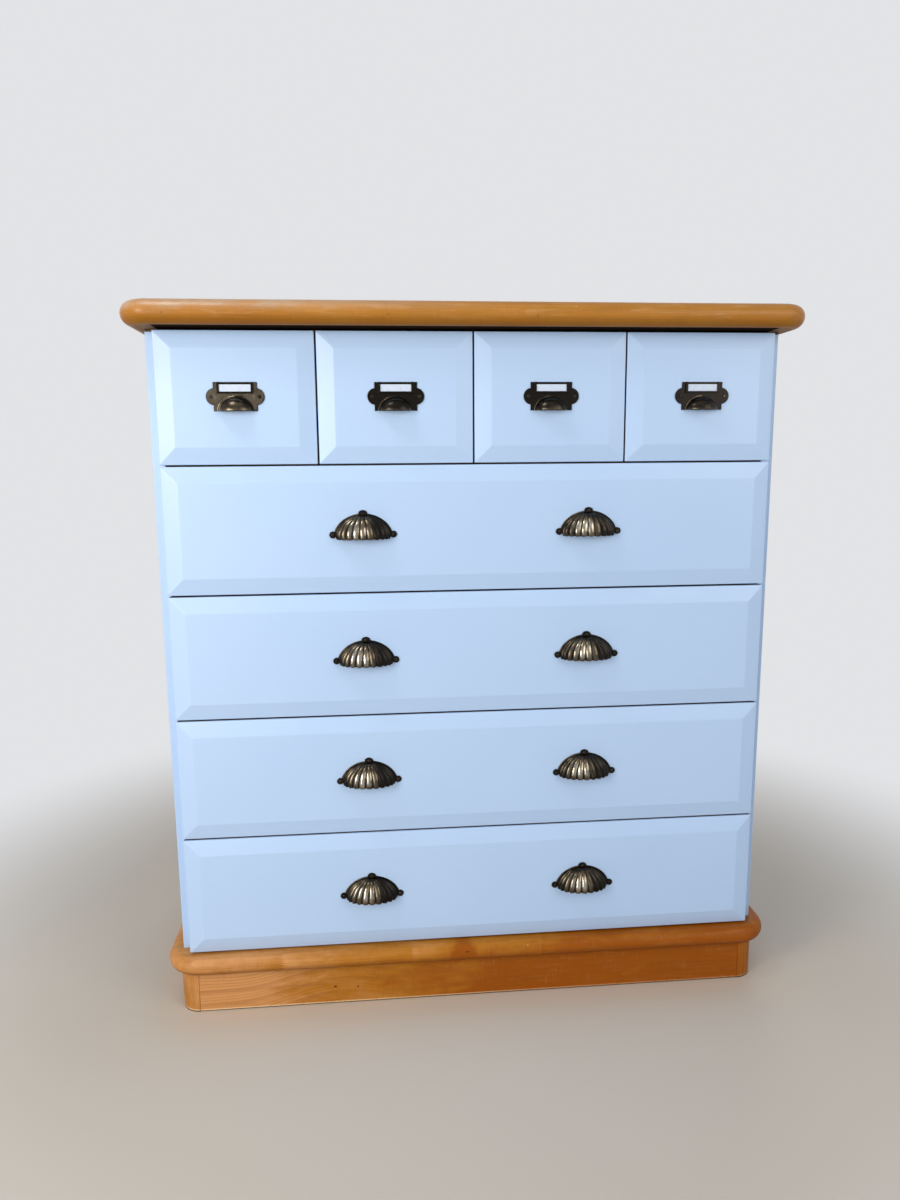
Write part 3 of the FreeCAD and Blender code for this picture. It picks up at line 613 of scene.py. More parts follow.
@kept
def hardboard():
    """The thin brown board at the back, smooth with pale fibres."""
    look = bpy.context.scene.chest_bare_wood
    surface = Surface("hardboard")
    place = surface.place()
    x, y, z = surface.parts(place)
    fibre = surface.noise(surface.vector(x * 900.0, y * 900.0, z * 260.0), 1.0, 3.0, 0.7)
    cloud = surface.noise(place, 6.0, 3.0)
    return surface.finish(
        Base_Color=surface.stain(
            look.board_brown[:], (fibre.rise(0.48, 0.8) * 0.7 + cloud * 0.2, look.board_fleck)
        ),
        Roughness=0.55 + (fibre - 0.5) * 0.25,
        Normal=surface.bump(fibre, 0.0002, 0.3),
    )


@kept
def blue_paint():
    """Satin furniture paint, rolled and laid off along the board, with the grain faint beneath it."""
    look = bpy.context.scene.chest_paint
    surface = Surface("blue_paint")
    place = surface.place()
    board = surface.parts(place)
    cloud = surface.noise(place, 3.2, 3.0, 0.55)
    stroke = surface.grain(board, 7.0, 260.0, 3.0, 0.6)
    peel = surface.noise(place, 950.0, 1.0)
    rings = growth_rings(surface, board, 0.0065, 0.4, 0.2, 0.2)
    relief = surface.bump(stroke * 0.7 + rings * 0.3, 0.00012, 0.5)
    return surface.finish(
        Base_Color=surface.stain(look.body[:], (cloud.rise(0.3, 0.75) * 0.55 + stroke * 0.2, look.thin)),
        Roughness=look.roughness + (cloud - 0.5) * 0.12 + (stroke - 0.5) * 0.06,
        Coat_Weight=look.sheen_coat,
        Coat_Roughness=look.coat_roughness,
        Normal=surface.bump(peel, 0.00005, 0.35, relief),
    )


@kept
def antique_brass():
    """Cast brass with a dark coat that hands have rubbed off the high places; the rub it reads also holds
    painted highlights and shade.
    """
    look = bpy.context.scene.chest_metal
    surface = Surface("antique_brass")
    place = surface.place()
    rub = surface.add("ShaderNodeAttribute", {"attribute_name": "rub"}, {})[ATTRIBUTE_VALUE]
    cloud = surface.noise(place, 70.0, 3.0, 0.6)
    grit = surface.noise(place, 1400.0, 2.0, 0.6)
    worn = (rub + (cloud - 0.5) * 0.6 + (grit - 0.5) * 0.3).rise(0.12, 0.95)
    rough = look.patina_roughness + (look.rubbed_roughness - look.patina_roughness) * worn
    return surface.finish(
        Base_Color=surface.stain(
            look.patina[:], (worn.rise(0.0, 0.5), look.brown), (worn.rise(0.45, 1.0), look.rubbed)
        ),
        Metallic=1.0,
        Roughness=rough + (grit - 0.5) * 0.12,
        Coat_Weight=look.lacquer,
        Coat_Roughness=look.lacquer_roughness,
        Normal=surface.bump(grit * 0.4 + cloud * 0.6, 0.00012, 0.3),
    )


@kept
def zinc_steel():
    """Bright zinc on the screws and pins that hold the carcass."""
    look = bpy.context.scene.chest_metal
    surface = Surface("zinc_steel")
    spangle = surface.noise(surface.place(), 900.0, 2.0)
    return surface.finish(
        Base_Color=surface.stain(look.zinc[:], (spangle.rise(0.4, 0.7) * 0.25, look.brown)),
        Metallic=1.0,
        Roughness=look.zinc_roughness + (spangle - 0.5) * 0.2,
    )


@kept
def blank_card():
    """Plain white card with a little tooth."""
    look = bpy.context.scene.chest_metal
    surface = Surface("blank_card")
    tooth = surface.noise(surface.place(), 2600.0, 3.0, 0.7)
    dust = surface.noise(surface.place(), 160.0, 2.0)
    return surface.finish(
        Base_Color=surface.stain(look.card[:], (dust.rise(0.4, 0.8) * 0.12, look.brown)),
        Roughness=0.7 + (tooth - 0.5) * 0.1,
        Normal=surface.bump(tooth, 0.00004, 0.4),
    )


# Mesh work

# Angles between two faces
FLAT_ANGLE = math.radians(0.6)
ARRIS_ANGLE = math.radians(6)
SHARP_ANGLE = math.radians(50)

# How far a face's normal has to point along an axis, for a flat face, a side and a dome
STRAIGHT = 0.999
TURNED = 0.3
FACING = 0.1

# Fine lengths
SHORTEST_ARRIS = 0.0085
MERGE_DISTANCE = 0.000002
NOSE_FLAT = 0.0001
EAR_JOIN = 0.00006
PLATE_MARGIN = 0.0008

# Sizes that follow the solids
BEVEL_DEPTH = 0.006
PAINT_TURN = 0.0025
HOUSING_DEPTH = 0.008
SHELL_WALL = 0.0014
SHELL_RIM = 0.00045
FLANGE_REACH = 0.0026
FLANGE_THICKNESS = 0.0013
LUG_RADIUS = 0.005
LUG_THICKNESS = 0.0022
LUG_REACH = 0.0435
LUG_RISE = 0.0068
TOP_LUG_RISE = 0.037
TOP_LUG_STRETCH = 1.3
EAR_RADIUS = 0.0116
EAR_REACH = 0.04
EAR_SCREW_REACH = 0.033
FRAME_LIP = 0.0033
FRAME_SILL = 0.0027
LIP_THICKNESS = 0.0011
CARD_ROOM = 0.001
CARD_COVER = 0.0016
CAST_RADIUS = 0.0003
DOME_WALL = 0.0015
BEAD_WIDTH = 0.002
BEAD_DEPTH = 0.003
SHANK_RADIUS = 0.0013
SHANK_LENGTH = 0.014

# How finely each curve is divided
ARRIS_SEGMENTS = 3
CORNER_SEGMENTS = 18
NOSE_SEGMENTS = 9
BLOCK_SEGMENTS = 96
LOBE_SEGMENTS = 12
SHELL_LEVELS = 14
ARCH_SEGMENTS = 96
LUG_SEGMENTS = 40
LUG_ROUND = 3
DOME_SEGMENTS = 48
DOME_LEVELS = 16
CAST_ROUND = 2
HEAD_SEGMENTS = 32
HEAD_ROUND = 5
SHANK_SEGMENTS = 16
EAR_SEGMENTS = 72
CARD_CUTS = 15


def bevel(bm, edges, offset, segments):
    bmesh.ops.bevel(
        bm, geom=edges, offset=offset, offset_type="OFFSET", segments=segments, profile=0.5,
        affect="EDGES", material=-1, clamp_overlap=False, loop_slide=True
    )


def move(bm, place):
    bmesh.ops.translate(bm, vec=place, verts=bm.verts[:])


def cut(bm, place, direction, **cleared):
    """Cuts a mesh along a plane, and clears a side if one is named."""
    bmesh.ops.bisect_plane(
        bm, geom=bm.verts[:] + bm.edges[:] + bm.faces[:], plane_co=place, plane_no=direction,
        dist=MERGE_DISTANCE, **cleared
    )


def faces_where(bm, test):
    return [face for face in bm.faces if test(face, face.calc_center_median())]


def edges_where(bm, test):
    """The edges that pass a test on the edge and the places of its two ends."""
    return [edge for edge in bm.edges if test(edge, edge.verts[0].co, edge.verts[1].co)]


def filled_box(low, high):
    """A box between two corners."""
    bm = bmesh.new()
    bmesh.ops.create_cube(bm, size=1.0)
    bmesh.ops.scale(bm, vec=high - low, verts=bm.verts)
    move(bm, (low + high) / 2)
    return bm


def round_sheet(radius, segments):
    bm = bmesh.new()
    bmesh.ops.create_circle(bm, cap_ends=True, radius=radius, segments=segments)
    return bm


def flat_sheet(width, height):
    bm = bmesh.new()
    bmesh.ops.create_grid(bm, x_segments=1, y_segments=1, size=0.5)
    bmesh.ops.scale(bm, vec=(width, height, 1.0), verts=bm.verts[:])
    return bm


def draw_out(bm, faces, height):
    """Extrudes faces along Z."""
    made = bmesh.ops.extrude_face_region(bm, geom=faces)["geom"]
    bmesh.ops.translate(
        bm, vec=(0, 0, height), verts=[part for part in made if isinstance(part, bmesh.types.BMVert)]
    )


def raise_sheet(bm, height):
    """Turns a flat sheet into a solid of that height, above it."""
    draw_out(bm, bm.faces[:], height)
    bmesh.ops.recalc_face_normals(bm, faces=bm.faces[:])


def shift_faces(bm, faces, height):
    """Draws faces of a solid out or in along Z, with walls round them and nothing left inside."""
    draw_out(bm, faces, height)
    bmesh.ops.delete(bm, geom=[face for face in faces if face.is_valid], context="FACES_ONLY")
    bmesh.ops.recalc_face_normals(bm, faces=bm.faces[:])


def round_front_edges(bm, radius, segments):
    """Rounds the edges of the face that lies on top of a raised sheet."""
    level = max(vert.co.z for vert in bm.verts) - MERGE_DISTANCE

    def is_top(edge, first, second):
        return min(first.z, second.z) > level and edge.is_convex and edge.calc_face_angle() > SHARP_ANGLE

    bevel(bm, edges_where(bm, is_top), radius, segments)


def stand_up(bm):
    """Turns a shape drawn flat on its back so that it faces the front."""
    bmesh.ops.rotate(bm, cent=(0, 0, 0), matrix=Matrix.Rotation(math.radians(90), 3, "X"), verts=bm.verts[:])


def join(whole, part, place=(0, 0, 0)):
    """Moves a shape to its place in a larger one."""
    move(part, place)
    carrier = bpy.data.meshes.new("carrier")
    part.to_mesh(carrier)
    part.free()
    whole.from_mesh(carrier)
    bpy.data.meshes.remove(carrier)


def whole_boards(node):
    """A merged copy of a CAD node, with each flat face in one piece."""
    bm = bmesh.new()
    bm.from_mesh(NODES[node].data)
    bmesh.ops.remove_doubles(bm, verts=bm.verts, dist=MERGE_DISTANCE)
    bmesh.ops.dissolve_limit(bm, angle_limit=FLAT_ANGLE, verts=bm.verts, edges=bm.edges)
    return bm


def ease_edges(bm, arris):
    """Rounds every long outer edge a little, as sandpaper or paint does."""
    def is_arris(edge, first, second):
        is_outer = edge.is_manifold and edge.is_convex and edge.calc_length() > SHORTEST_ARRIS
        return is_outer and edge.calc_face_angle() > ARRIS_ANGLE

    bevel(bm, edges_where(bm, is_arris), arris, ARRIS_SEGMENTS)


def loose_parts(bm):
    """The faces of each separate board in a mesh."""
    waiting = set(bm.faces)
    parts = []
    while waiting:
        found = {waiting.pop()}
        front = list(found)
        while front:
            for edge in front.pop().edges:
                for neighbour in edge.link_faces:
                    if neighbour in waiting:
                        waiting.discard(neighbour)
                        found.add(neighbour)
                        front.append(neighbour)
        parts.append(found)
    return parts


def grain_axis(faces):
    """The axis along which a board is longest."""
    corners = [vert.co for face in faces for vert in face.verts]
    spans = [max(co[axis] for co in corners) - min(co[axis] for co in corners) for axis in range(3)]
    return "xyz"[spans.index(max(spans))]


def stand_in(node, bm, materials, name=None):
    """Links a piece that takes the place and body of a CAD node, and hides the node."""
    for face in bm.faces:
        face.smooth = True
    for edge in bm.edges:
        edge.smooth = edge.is_manifold and edge.calc_face_angle() < SHARP_ANGLE
    mesh = bpy.data.meshes.new("finished_" + (name or node))
    bm.to_mesh(mesh)
    bm.free()
    for material in materials:
        mesh.materials.append(material)
    piece = bpy.data.objects.new(mesh.name, mesh)
    bpy.context.scene.collection.objects.link(piece)
    piece.modifiers.new("even_shading", "WEIGHTED_NORMAL").keep_sharp = True
    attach(piece, NODES[node]["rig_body"])
    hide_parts(node)
    for row in frame["record"]["subparts"]:
        row["node"] == node


def finish_boards(node, arris, surface_for):
    """Stands eased boards in for a CAD node, each with its grain along its length."""
    bm = whole_boards(node)
    ease_edges(bm, arris)
    used = []
    for part in loose_parts(bm):
        axis = grain_axis(part)
        if axis not in used:
            used.append(axis)
        for face in part:
            face.material_index = used.index(axis)
    stand_in(node, bm, [surface_for(axis) for axis in used])


def finish_slab(kind, corner_radius):
    """A varnished slab with rounded front corners and a full bullnose on all but its back edge.

    Its flat underside carries a painted shadow between the carcass sides and is bare outside them.
    """
    node = kind + "_board"
    low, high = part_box(node)
    bm = filled_box(low, high)
    thickness = high.z - low.z

    def is_front_corner(edge, first, second):
        return abs(first.z - second.z) > thickness / 2 and first.y < 0

    def is_rim(edge, first, second):
        is_back = min(first.y, second.y) > high.y - MERGE_DISTANCE
        return abs(first.z - second.z) < MERGE_DISTANCE and not is_back

    bevel(bm, edges_where(bm, is_front_corner), corner_radius, CORNER_SEGMENTS)
    bevel(bm, edges_where(bm, is_rim), (thickness - NOSE_FLAT) / 2, NOSE_SEGMENTS)
    inner_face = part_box("left_side_panel")[1].x
    for x in (inner_face, -inner_face):
        cut(bm, (x, 0, 0), (1, 0, 0))
    for face in faces_where(bm, lambda face, middle: face.normal.z < -STRAIGHT):
        face.material_index = 1 if abs(face.calc_center_median().x) < abs(inner_face) else 2
    stand_in(node, bm, [varnished_wood(kind, "x"), dark_underside(), bare_wood("under", "x")])


def corner_block(side, radius, height):
    """A quarter-round block at the origin, with its round face to the front and to one side."""
    bm = round_sheet(radius, BLOCK_SEGMENTS)
    for direction in ((0, 1, 0), (-side, 0, 0)):
        cut(bm, (0, 0, 0), direction, clear_outer=True)
    raise_sheet(bm, height)
    ease_edges(bm, bpy.context.scene.chest_boards.plinth_arris)
    return bm


# Castings

# The part of a cup's height over which its rim bends
RIM_SHARE = 0.3

# How far each place is rubbed, and the plates of the first label pull and of the others. The flange edge,
# the bead edge and the handled crown also hold painted highlights.
RUB = {
    "crown": 0.3, "handled crown": 0.45, "flange": 0.12, "flange edge": 0.45, "lug": 0.1,
    "plate margin": 0.04, "bead": 0.1, "bead edge": 0.36, "dome": 0.18, "dome rim": 0.15,
    "screw": 0.1, "screw head": 0.3,
}
MOST_WORN = 0.48
LEAST_WORN = 0.12


def casting():
    """An empty mesh that can hold how far it is rubbed."""
    bm = bmesh.new()
    bm.loops.layers.float.new("rub")
    return bm


def set_rub(bm, rub_at):
    """Writes how far each corner of each face is rubbed, from 0 to 1."""
    layer = bm.loops.layers.float.get("rub") or bm.loops.layers.float.new("rub")
    for face in bm.faces:
        middle = face.calc_center_median()
        for loop in face.loops:
            loop[layer] = max(0.0, min(1.0, rub_at(loop.vert.co, middle)))


def hump(value, middle, reach):
    """1 at the middle, falling to 0 at the reach on both sides of it."""
    return max(0.0, 1 - ((value - middle) / reach) ** 2)


def across_flute(co, size, lobes):
    """Where a point of a cup lies across its flute: 0 on the crown, and -1 or 1 in the valleys."""
    around = math.atan2(-co.y / size[1], co.x / size[0]) / math.pi * lobes
    return 2 * (around % 1) - 1


def cup(size, wall, rim_radius, segments, levels, lobes=1, lobe_depth=0.0, scallop=0.0, tuck=0.0):
    """A cup that is open below and behind: a quarter sphere with flutes, drawn out to size.

    The size is its half width, reach and height. The rim rises by the scallop between two flutes,
    and turns in by the tuck, a share of the radius.
    """
    half_width, reach, height = size
    bm = bmesh.new()
    bmesh.ops.create_uvsphere(bm, u_segments=2 * segments, v_segments=2 * levels, radius=1.0)
    spare = faces_where(bm, lambda face, middle: middle.z < 0 or middle.y > 0)
    bmesh.ops.delete(bm, geom=spare, context="FACES")
    for vert in bm.verts:
        flute = 1 - lobe_depth * across_flute(vert.co, (1.0, 1.0), lobes) ** 2
        vert.co = (vert.co.x * flute * half_width, vert.co.y * flute * reach, vert.co.z * height)
    rims = [edge for edge in bm.edges if edge.is_boundary]
    copy = bmesh.ops.duplicate(bm, geom=bm.verts[:] + bm.edges[:] + bm.faces[:])["geom"]
    for part in copy:
        if isinstance(part, bmesh.types.BMVert):
            part.co *= 1 - wall / part.co.length
        if isinstance(part, bmesh.types.BMEdge) and part.is_boundary:
            rims.append(part)
    bmesh.ops.bridge_loops(bm, edges=rims)
    bmesh.ops.recalc_face_normals(bm, faces=bm.faces[:])

    def is_low_rim(edge, first, second):
        is_low = max(abs(first.z), abs(second.z)) < MERGE_DISTANCE
        return is_low and edge.calc_face_angle() > SHARP_ANGLE

    bevel(bm, edges_where(bm, is_low_rim), rim_radius, CAST_ROUND)
    for vert in bm.verts:
        near_rim = max(0.0, 1 - vert.co.z / (RIM_SHARE * height))
        inward = 1 - tuck * near_rim ** 2
        rise = scallop * near_rim * across_flute(vert.co, size, lobes) ** 2
        vert.co = (vert.co.x * inward, vert.co.y * inward, vert.co.z + rise)
    return bm


def arch(outer, inner, thickness, foot, edge_radius):
    """A flat arch that stands behind a cup: half an elliptical ring, cut level at its feet."""
    bm = bmesh.new()
    rings = []
    for half_width, height in (outer, inner):
        verts = bmesh.ops.create_circle(bm, cap_ends=False, radius=1.0, segments=ARCH_SEGMENTS)["verts"]
        bmesh.ops.scale(bm, vec=(half_width, height, 1.0), verts=verts)
        rings += list({edge for vert in verts for edge in vert.link_edges})
    bmesh.ops.bridge_loops(bm, edges=rings)
    cut(bm, (0, foot, 0), (0, 1, 0), clear_inner=True)
    raise_sheet(bm, thickness)
    round_front_edges(bm, edge_radius, CAST_ROUND)
    stand_up(bm)
    return bm


def shell_pull():
    """One fluted cup pull about the middle of its rim: cup, flange and three lugs."""
    pull = bpy.context.scene.chest_shell_pulls
    whole = casting()
    size = (pull.half_width, pull.projection, pull.height)
    shell = cup(
        size, SHELL_WALL, SHELL_RIM, pull.lobe_count * LOBE_SEGMENTS, SHELL_LEVELS,
        pull.lobe_count, pull.lobe_depth, pull.scallop, pull.tuck
    )

    def rub_on_cup(co, middle):
        # Crowns are rubbed bright where hands hold the cup. That patch is set left of the middle as a
        # painted highlight where the light falls, and the right part is painted darker as shade
        crown = 1 - abs(across_flute(co, size, pull.lobe_count)) ** 5
        along = co.x / pull.half_width
        handled_and_lit = hump(along, -0.2, 0.62) * hump(co.z / pull.height, 0.42, 0.55)
        painted_shade_right = min(1.0, max(0.0, along))
        return crown * (RUB["crown"] + RUB["handled crown"] * handled_and_lit) * (1 - painted_shade_right / 2)

    set_rub(shell, rub_on_cup)
    join(whole, shell)
    outer = (pull.half_width + FLANGE_REACH, pull.height + FLANGE_REACH)
    inner = ((pull.half_width - SHELL_WALL) * (1 - pull.lobe_depth), pull.height - SHELL_WALL)
    flange = arch(outer, inner, FLANGE_THICKNESS, LUG_RISE, FLANGE_THICKNESS / 3)

    def rub_on_flange(co, middle):
        # Painted highlight: the flange's outer edge is lit up on its left side only
        out = math.hypot(co.x / outer[0], co.z / outer[1])
        return RUB["flange edge"] if out > 0.98 and co.y < 0 and co.x < 0 else RUB["flange"]

    set_rub(flange, rub_on_flange)
    join(whole, flange)
    centres = [
        (-LUG_REACH, LUG_RISE, 1.0),
        (LUG_REACH, LUG_RISE, 1.0),
        (0.0, TOP_LUG_RISE, TOP_LUG_STRETCH),
    ]
    for x, z, stretch in centres:
        lug = round_sheet(LUG_RADIUS, LUG_SEGMENTS)
        raise_sheet(lug, LUG_THICKNESS)
        round_front_edges(lug, LUG_THICKNESS / 3, LUG_ROUND)
        stand_up(lug)
        bmesh.ops.scale(lug, vec=(stretch, 1.0, 1.0), verts=lug.verts[:])
        set_rub(lug, lambda co, middle: RUB["lug"])
        join(whole, lug, (x, 0, z))
    return whole


def label_plate():
    """The flat plate with a round ear at each end."""
    pull = bpy.context.scene.chest_label_pulls
    half_width = pull.plate_width / 2
    ear_middle = EAR_REACH - EAR_RADIUS
    chord = math.sqrt(EAR_RADIUS ** 2 - (half_width - ear_middle) ** 2)
    bm = flat_sheet(pull.plate_width, pull.plate_height)
    for height in (-chord, chord):
        cut(bm, (0, height, 0), (0, 1, 0))
    for side in (-1, 1):
        ear = round_sheet(EAR_RADIUS, EAR_SEGMENTS)
        move(ear, (side * ear_middle, 0, 0))
        cut(ear, (side * half_width, 0, 0), (side, 0, 0), clear_inner=True)
        join(bm, ear)
    bmesh.ops.remove_doubles(bm, verts=bm.verts[:], dist=EAR_JOIN)
    bmesh.ops.dissolve_faces(bm, faces=bm.faces[:], use_verts=False)
    raise_sheet(bm, pull.plate_thickness)
    round_front_edges(bm, CAST_RADIUS, CAST_ROUND)
    front = faces_where(bm, lambda face, middle: face.normal.z > STRAIGHT)
    bmesh.ops.inset_region(bm, faces=front, thickness=PLATE_MARGIN)
    for x in (-pull.frame_width / 2, pull.frame_width / 2):
        cut(bm, (x, 0, 0), (1, 0, 0))
    cut(bm, (0, pull.plate_height / 2 - pull.frame_height, 0), (0, 1, 0))
    stand_up(bm)
    return bm


def label_frame():
    """The raised frame with a lip over three sides of the card, open at its top."""
    pull = bpy.context.scene.chest_label_pulls
    high = pull.plate_height / 2
    low = high - pull.frame_height
    lip_x = pull.frame_width / 2 - FRAME_LIP
    lip_y = low + FRAME_SILL
    slot_x = lip_x + CARD_COVER
    slot_y = lip_y - CARD_COVER
    bm = flat_sheet(pull.frame_width, pull.frame_height)
    move(bm, (0, (high + low) / 2, 0))
    for x in (-slot_x, -lip_x, lip_x, slot_x):
        cut(bm, (x, 0, 0), (1, 0, 0))
    for y in (slot_y, lip_y):
        cut(bm, (0, y, 0), (0, 1, 0))
    window = faces_where(bm, lambda face, middle: abs(middle.x) < lip_x and middle.y > lip_y)
    bmesh.ops.delete(bm, geom=window, context="FACES")
    raise_sheet(bm, LIP_THICKNESS)

    def is_foot(face, middle):
        return face.normal.z < -STRAIGHT and (abs(middle.x) > slot_x or middle.y < slot_y)

    shift_faces(bm, faces_where(bm, is_foot), -CARD_ROOM - pull.plate_thickness / 4)
    round_front_edges(bm, CAST_RADIUS, CAST_ROUND)
    move(bm, (0, 0, pull.plate_thickness + CARD_ROOM))
    stand_up(bm)
    return bm


def label_pull(wear):
    """One label pull about the middle of its plate: plate, frame, cup and the bead round the cup."""
    pull = bpy.context.scene.chest_label_pulls
    whole = casting()
    half_width = pull.plate_width / 2
    half_height = pull.plate_height / 2

    def rub_on_plate(co, middle):
        in_ear = EAR_RADIUS - math.hypot(abs(co.x) - EAR_REACH + EAR_RADIUS, co.z)
        inside = max(in_ear, min(half_width - abs(co.x), half_height - abs(co.z)))
        is_behind_card = abs(middle.x) < pull.frame_width / 2 and middle.z > half_height - pull.frame_height
        return wear if inside > CAST_RADIUS * 2 and not is_behind_card else RUB["plate margin"]

    plate = label_plate()
    set_rub(plate, rub_on_plate)
    join(whole, plate)
    holder = label_frame()
    set_rub(holder, lambda co, middle: wear * 0.1)
    join(whole, holder)
    outer = (pull.cup_half_width + BEAD_WIDTH, pull.cup_radius + BEAD_WIDTH)
    inner = (pull.cup_half_width - DOME_WALL, pull.cup_radius - DOME_WALL)
    bead = arch(outer, inner, BEAD_DEPTH, 0.0, BEAD_WIDTH / 4)

    def rub_on_bead(co, middle):
        # Painted highlight: the bead's outer edge is lit up on its left side only, more on the worn pull
        is_edge = math.hypot(co.x / outer[0], co.z / outer[1]) > 0.96 and co.y < -BEAD_DEPTH * 0.7
        return RUB["bead edge"] + wear * 0.6 if is_edge and co.x < 0 else RUB["bead"]

    set_rub(bead, rub_on_bead)
    join(whole, bead, (0, 0, -half_height))
    size = (pull.cup_half_width, pull.cup_radius, pull.cup_radius)
    dome = cup(size, DOME_WALL, DOME_WALL / 3, DOME_SEGMENTS, DOME_LEVELS)
    near_rim = 0.2 * pull.cup_radius

    def rub_on_dome(co, middle):
        return RUB["dome"] + wear * 0.4 + RUB["dome rim"] * max(0.0, 1 - co.z / near_rim)

    set_rub(dome, rub_on_dome)
    join(whole, dome, (0, 0, -half_height))
    return whole


def pull_screw():
    """One round-headed screw with a level slot, its head's seat at the origin."""
    screw = bpy.context.scene.chest_screws
    bm = round_sheet(screw.head_radius, HEAD_SEGMENTS)
    raise_sheet(bm, screw.head_height)
    round_front_edges(bm, screw.head_height * 0.9, HEAD_ROUND)
    for side in (-1, 1):
        cut(bm, (0, side * screw.slot_width / 2, 0), (0, 1, 0))

    def is_in_slot(face, middle):
        return abs(middle.y) < screw.slot_width / 2 and face.normal.z > FACING

    shift_faces(bm, faces_where(bm, is_in_slot), -screw.slot_depth)
    if bm.calc_volume(signed=True) < 0:
        bmesh.ops.reverse_faces(bm, faces=bm.faces[:])
    shank = round_sheet(SHANK_RADIUS, SHANK_SEGMENTS)
    raise_sheet(shank, SHANK_LENGTH)
    join(bm, shank, (0, 0, -SHANK_LENGTH))
    stand_up(bm)

    def rub_on_screw(co, middle):
        return RUB["screw head"] if co.y < -screw.head_height / 2 else RUB["screw"]

    set_rub(bm, rub_on_screw)
    return bm


def front_middle(drawer):
    """The middle of a drawer front's face."""
    low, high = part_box(drawer + "_front")
    return (low.x + high.x) / 2, low.y, (low.z + high.z) / 2


def shell_places(drawer):
    """The middles of the rims of a wide drawer's two pulls."""
    pull = bpy.context.scene.chest_shell_pulls
    face_y, middle_z = front_middle(drawer)[1:]
    return [(pull.shift + side * pull.spacing / 2, face_y, middle_z - pull.rim_drop) for side in (-1, 1)]


# Operators

class CHEST_OT_top_board(bpy.types.Operator):
    """The varnished top, with its bullnose and rounded corners"""
    bl_idname = "chest.top_board"
    bl_label = "Top board"

    def execute(self, context):
        finish_slab("top", context.scene.chest_boards.top_corner)
        return {"FINISHED"}


class CHEST_OT_base_board(bpy.types.Operator):
    """The varnished slab that the carcass stands on"""
    bl_idname = "chest.base_board"
    bl_label = "Base board"

    def execute(self, context):
        finish_slab("base", context.scene.chest_boards.base_corner)
        return {"FINISHED"}


class CHEST_OT_plinth(bpy.types.Operator):
    """The plinth's rails and its two quarter-round corner blocks"""
    bl_idname = "chest.plinth"
    bl_label = "Plinth"

    def execute(self, context):
        arris = context.scene.chest_boards.plinth_arris
        for node in ("plinth_front_rail", "plinth_side_rails", "plinth_back_rail"):
            finish_boards(node, arris, lambda axis: varnished_wood("plinth", axis))
        low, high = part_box("plinth_corner_blocks")
        radius = high.y - low.y
        whole = bmesh.new()
        for side in (-1, 1):
            block = corner_block(side, radius, high.z - low.z)
            join(whole, block, (side * (high.x - radius), high.y, low.z))
        stand_in("plinth_corner_blocks", whole, [varnished_wood("block", "z")], "corner_blocks")
        return {"FINISHED"}


class CHEST_OT_side_panels(bpy.types.Operator):
    """The carcass sides, painted outside and on their front edges, and bare inside"""
    bl_idname = "chest.side_panels"
    bl_label = "Side panels"

    def execute(self, context):
        paint_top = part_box("small_drawer_1_front")[1].z
        for node, side in (("left_side_panel", -1), ("right_side_panel", 1)):
            bm = whole_boards(node)
            ease_edges(bm, context.scene.chest_boards.board_arris)
            cut(bm, (0, 0, paint_top), (0, 0, 1))
            for face in bm.faces:
                is_outside = face.normal.x * side > TURNED
                is_front = face.normal.y < -TURNED and face.calc_center_median().z < paint_top
                face.material_index = 0 if is_outside or is_front else 1
            stand_in(node, bm, [blue_paint(), bare_wood("carcass", "z")])
        return {"FINISHED"}


class CHEST_OT_carcass_inside(bpy.types.Operator):
    """The shelf, partitions, rails and runners inside, and the back panel"""
    bl_idname = "chest.carcass_inside"
    bl_label = "Carcass inside"

    def execute(self, context):
        boards = context.scene.chest_boards
        for node in ("small_drawer_shelf", "small_drawer_partitions", "front_rails"):
            finish_boards(node, boards.board_arris, lambda axis: bare_wood("carcass", axis))
        finish_boards("wide_drawer_runners", boards.board_arris, lambda axis: bare_wood("runner", axis))
        finish_boards("back_panel", boards.thin_arris, lambda axis: hardboard())
        return {"FINISHED"}


class CHEST_OT_drawer_fronts(bpy.types.Operator):
    """The bevelled drawer fronts, painted all over but for the back and the edges inside the gaps"""
    bl_idname = "chest.drawer_fronts"
    bl_label = "Drawer fronts"

    def execute(self, context):
        boards = context.scene.chest_boards
        margin = 2 * boards.front_arris
        outer_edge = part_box(WIDE_DRAWERS[0] + "_front")[1].x - boards.front_arris
        for drawer in SMALL_DRAWERS + WIDE_DRAWERS:
            node = drawer + "_front"
            low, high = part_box(node)
            bare_from = high.y - HOUSING_DEPTH - boards.front_arris
            paint_end = low.y + BEVEL_DEPTH + PAINT_TURN
            bm = whole_boards(node)
            ease_edges(bm, boards.front_arris)
            cut(bm, (0, paint_end, 0), (0, 1, 0))
            for face in bm.faces:
                middle = face.calc_center_median()
                is_inside = low.x + margin < middle.x < high.x - margin
                is_inside = is_inside and low.z + margin < middle.z < high.z - margin
                if is_inside and middle.y > bare_from:
                    face.material_index = 1
                elif middle.y > paint_end and abs(face.normal.y) < TURNED and abs(middle.x) < outer_edge:
                    face.material_index = 2
            stand_in(node, bm, [blue_paint(), bare_wood("drawer", "x"), bare_wood("carcass", "x")])
        return {"FINISHED"}


class CHEST_OT_drawer_boxes(bpy.types.Operator):
    """The sides, backs and bottoms of the drawers"""
    bl_idname = "chest.drawer_boxes"
    bl_label = "Drawer boxes"

    def execute(self, context):
        boards = context.scene.chest_boards
        for drawer in SMALL_DRAWERS + WIDE_DRAWERS:
            finish_boards(drawer + "_box", boards.board_arris, lambda axis: bare_wood("drawer", axis))
            finish_boards(drawer + "_bottom", boards.thin_arris, lambda axis: bare_wood("ply", "x"))
        return {"FINISHED"}


